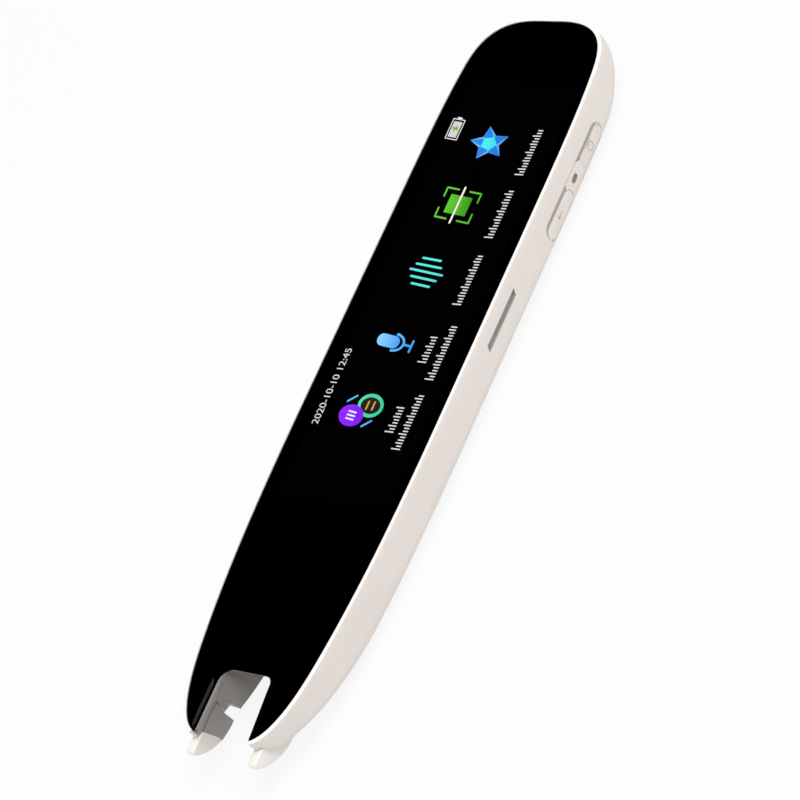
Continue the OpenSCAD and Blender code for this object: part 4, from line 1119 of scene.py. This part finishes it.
NODE_FINISHES = {
    "glass_adhesive": "black_foam", "backlight": "drawn_steel", "display_flex": "polyimide",
    "mid_frame": "frame_grey", "board_screws": "drawn_steel",
    "speaker_mesh": "mesh_grey", "speaker_gasket": "black_foam", "speaker_frame": "drawn_steel",
    "speaker_cone": "dark_cone", "speaker_magnet": "magnet",
    "main_board": "board_green", "processor": "black_plastic", "shield_can": "drawn_steel",
    "memory_chip": "black_plastic", "usb_tongue": "black_plastic", "card_socket": "drawn_steel",
    "battery": "cell_foil", "battery_tape": "grey_tape", "battery_lead": "black_plastic",
    "scan_board": "board_green", "scan_flex": "polyimide", "camera_body": "black_plastic",
    "camera_lens": "black_plastic", "lens_window": "lens_glass", "scan_leds": "lamp_white",
    "light_guides": "lens_glass",
    "nib_yoke": "yoke_white", "nib_switch": "black_plastic", "nib_plunger": "yoke_white",
    "spring_seat": "yoke_white",
    "key_board": "board_green", "key_switches": "drawn_steel", "key_flex": "polyimide",
    "microphone": "drawn_steel", "mic_boot": "boot_rubber",
}
for node_name, finish in NODE_FINISHES.items():
    part = nodes[node_name]
    for s in part.material_slots:
        s.material = FINISHES[finish]
    if not part.material_slots:
        part.data.materials.append(FINISHES[finish])

# ---- Floor, light and camera ----

def white_for_view(tree):
    """Where the backdrop shows as white: to the camera, and in gloss and glass that the camera sees."""
    path = node(tree, "ShaderNodeLightPath")
    seen = higher(tree, path.outputs["Is Camera Ray"], path.outputs["Is Glossy Ray"])
    seen = higher(tree, seen, path.outputs["Is Transmission Ray"])
    first = node(tree, "ShaderNodeMath", [(0, path.outputs["Diffuse Depth"]), (1, 0.5)], operation="LESS_THAN")
    return times(tree, seen, first.outputs[0])


def floor():
    """Pale floor that keeps the pen's shadow and otherwise shows as white."""
    bm = bmesh.new()
    bmesh.ops.create_grid(bm, x_segments=8, y_segments=8, size=3)
    ground = placed("floor", as_mesh("floor", bm))
    m = bpy.data.materials.new("floor")
    m.use_nodes = True
    tree = m.node_tree
    tree.nodes.clear()
    plain = node(tree, "ShaderNodeBsdfDiffuse", [("Color", (0.8, 0.8, 0.8, 1))])
    white = node(tree, "ShaderNodeEmission", [("Color", (1, 1, 1, 1)), ("Strength", 1.0)])
    share = times(tree, white_for_view(tree), 0.88)
    mix = node(tree, "ShaderNodeMixShader", [(0, share), (1, plain.outputs[0]), (2, white.outputs[0])])
    out = node(tree, "ShaderNodeOutputMaterial")
    tree.links.new(mix.outputs[0], out.inputs["Surface"])
    give_materials(ground, [m])


def soft_lamp(name, place, size, power):
    """Round area lamp that points at the pen's middle."""
    data = bpy.data.lights.new(name, "AREA")
    data.shape, data.size, data.energy = "DISK", size, power
    lamp = placed(name, data)
    lamp.location = place
    lamp.rotation_euler = (-Vector(place)).to_track_quat("-Z", "Y").to_euler()


def studio():
    """Even light from all round, a large lamp above and a weaker one from the nose."""
    world = bpy.data.worlds.new("studio")
    bpy.context.scene.world = world
    world.use_nodes = True
    tree = world.node_tree
    tree.nodes.clear()
    level = node(tree, "ShaderNodeMapRange", [("Value", white_for_view(tree)), ("To Min", 0.55), ("To Max", 1.0)])
    back = node(tree, "ShaderNodeBackground", [("Color", (1, 1, 1, 1)), ("Strength", level.outputs["Result"])])
    out = node(tree, "ShaderNodeOutputWorld")
    tree.links.new(back.outputs[0], out.inputs["Surface"])
    soft_lamp("key_light", (0.38, 0.14, 0.88), 0.5, 5.6)
    soft_lamp("fill_light", (-0.25, -0.9, 0.3), 0.6, 1.2)


def camera():
    """Camera over the glass and the key side, with the charging end up in the picture."""
    data = bpy.data.cameras.new("view")
    data.lens, data.sensor_width = 153, 36
    data.clip_start, data.clip_end = 0.01, 20
    cam = placed("view", data)
    right = Vector((0.751166, 0.392437, -0.530794))
    up = Vector((-0.087584, 0.856237, 0.509104))
    back = Vector((0.654277, -0.335932, 0.677548))
    cam.matrix_world = (Matrix.Translation((0.403038, -0.209416, 0.423114))
                        @ Matrix((right, up, back)).transposed().to_4x4())
    bpy.context.scene.camera = cam


floor()
studio()
camera()
bpy.context.scene.view_settings.view_transform = "Standard"
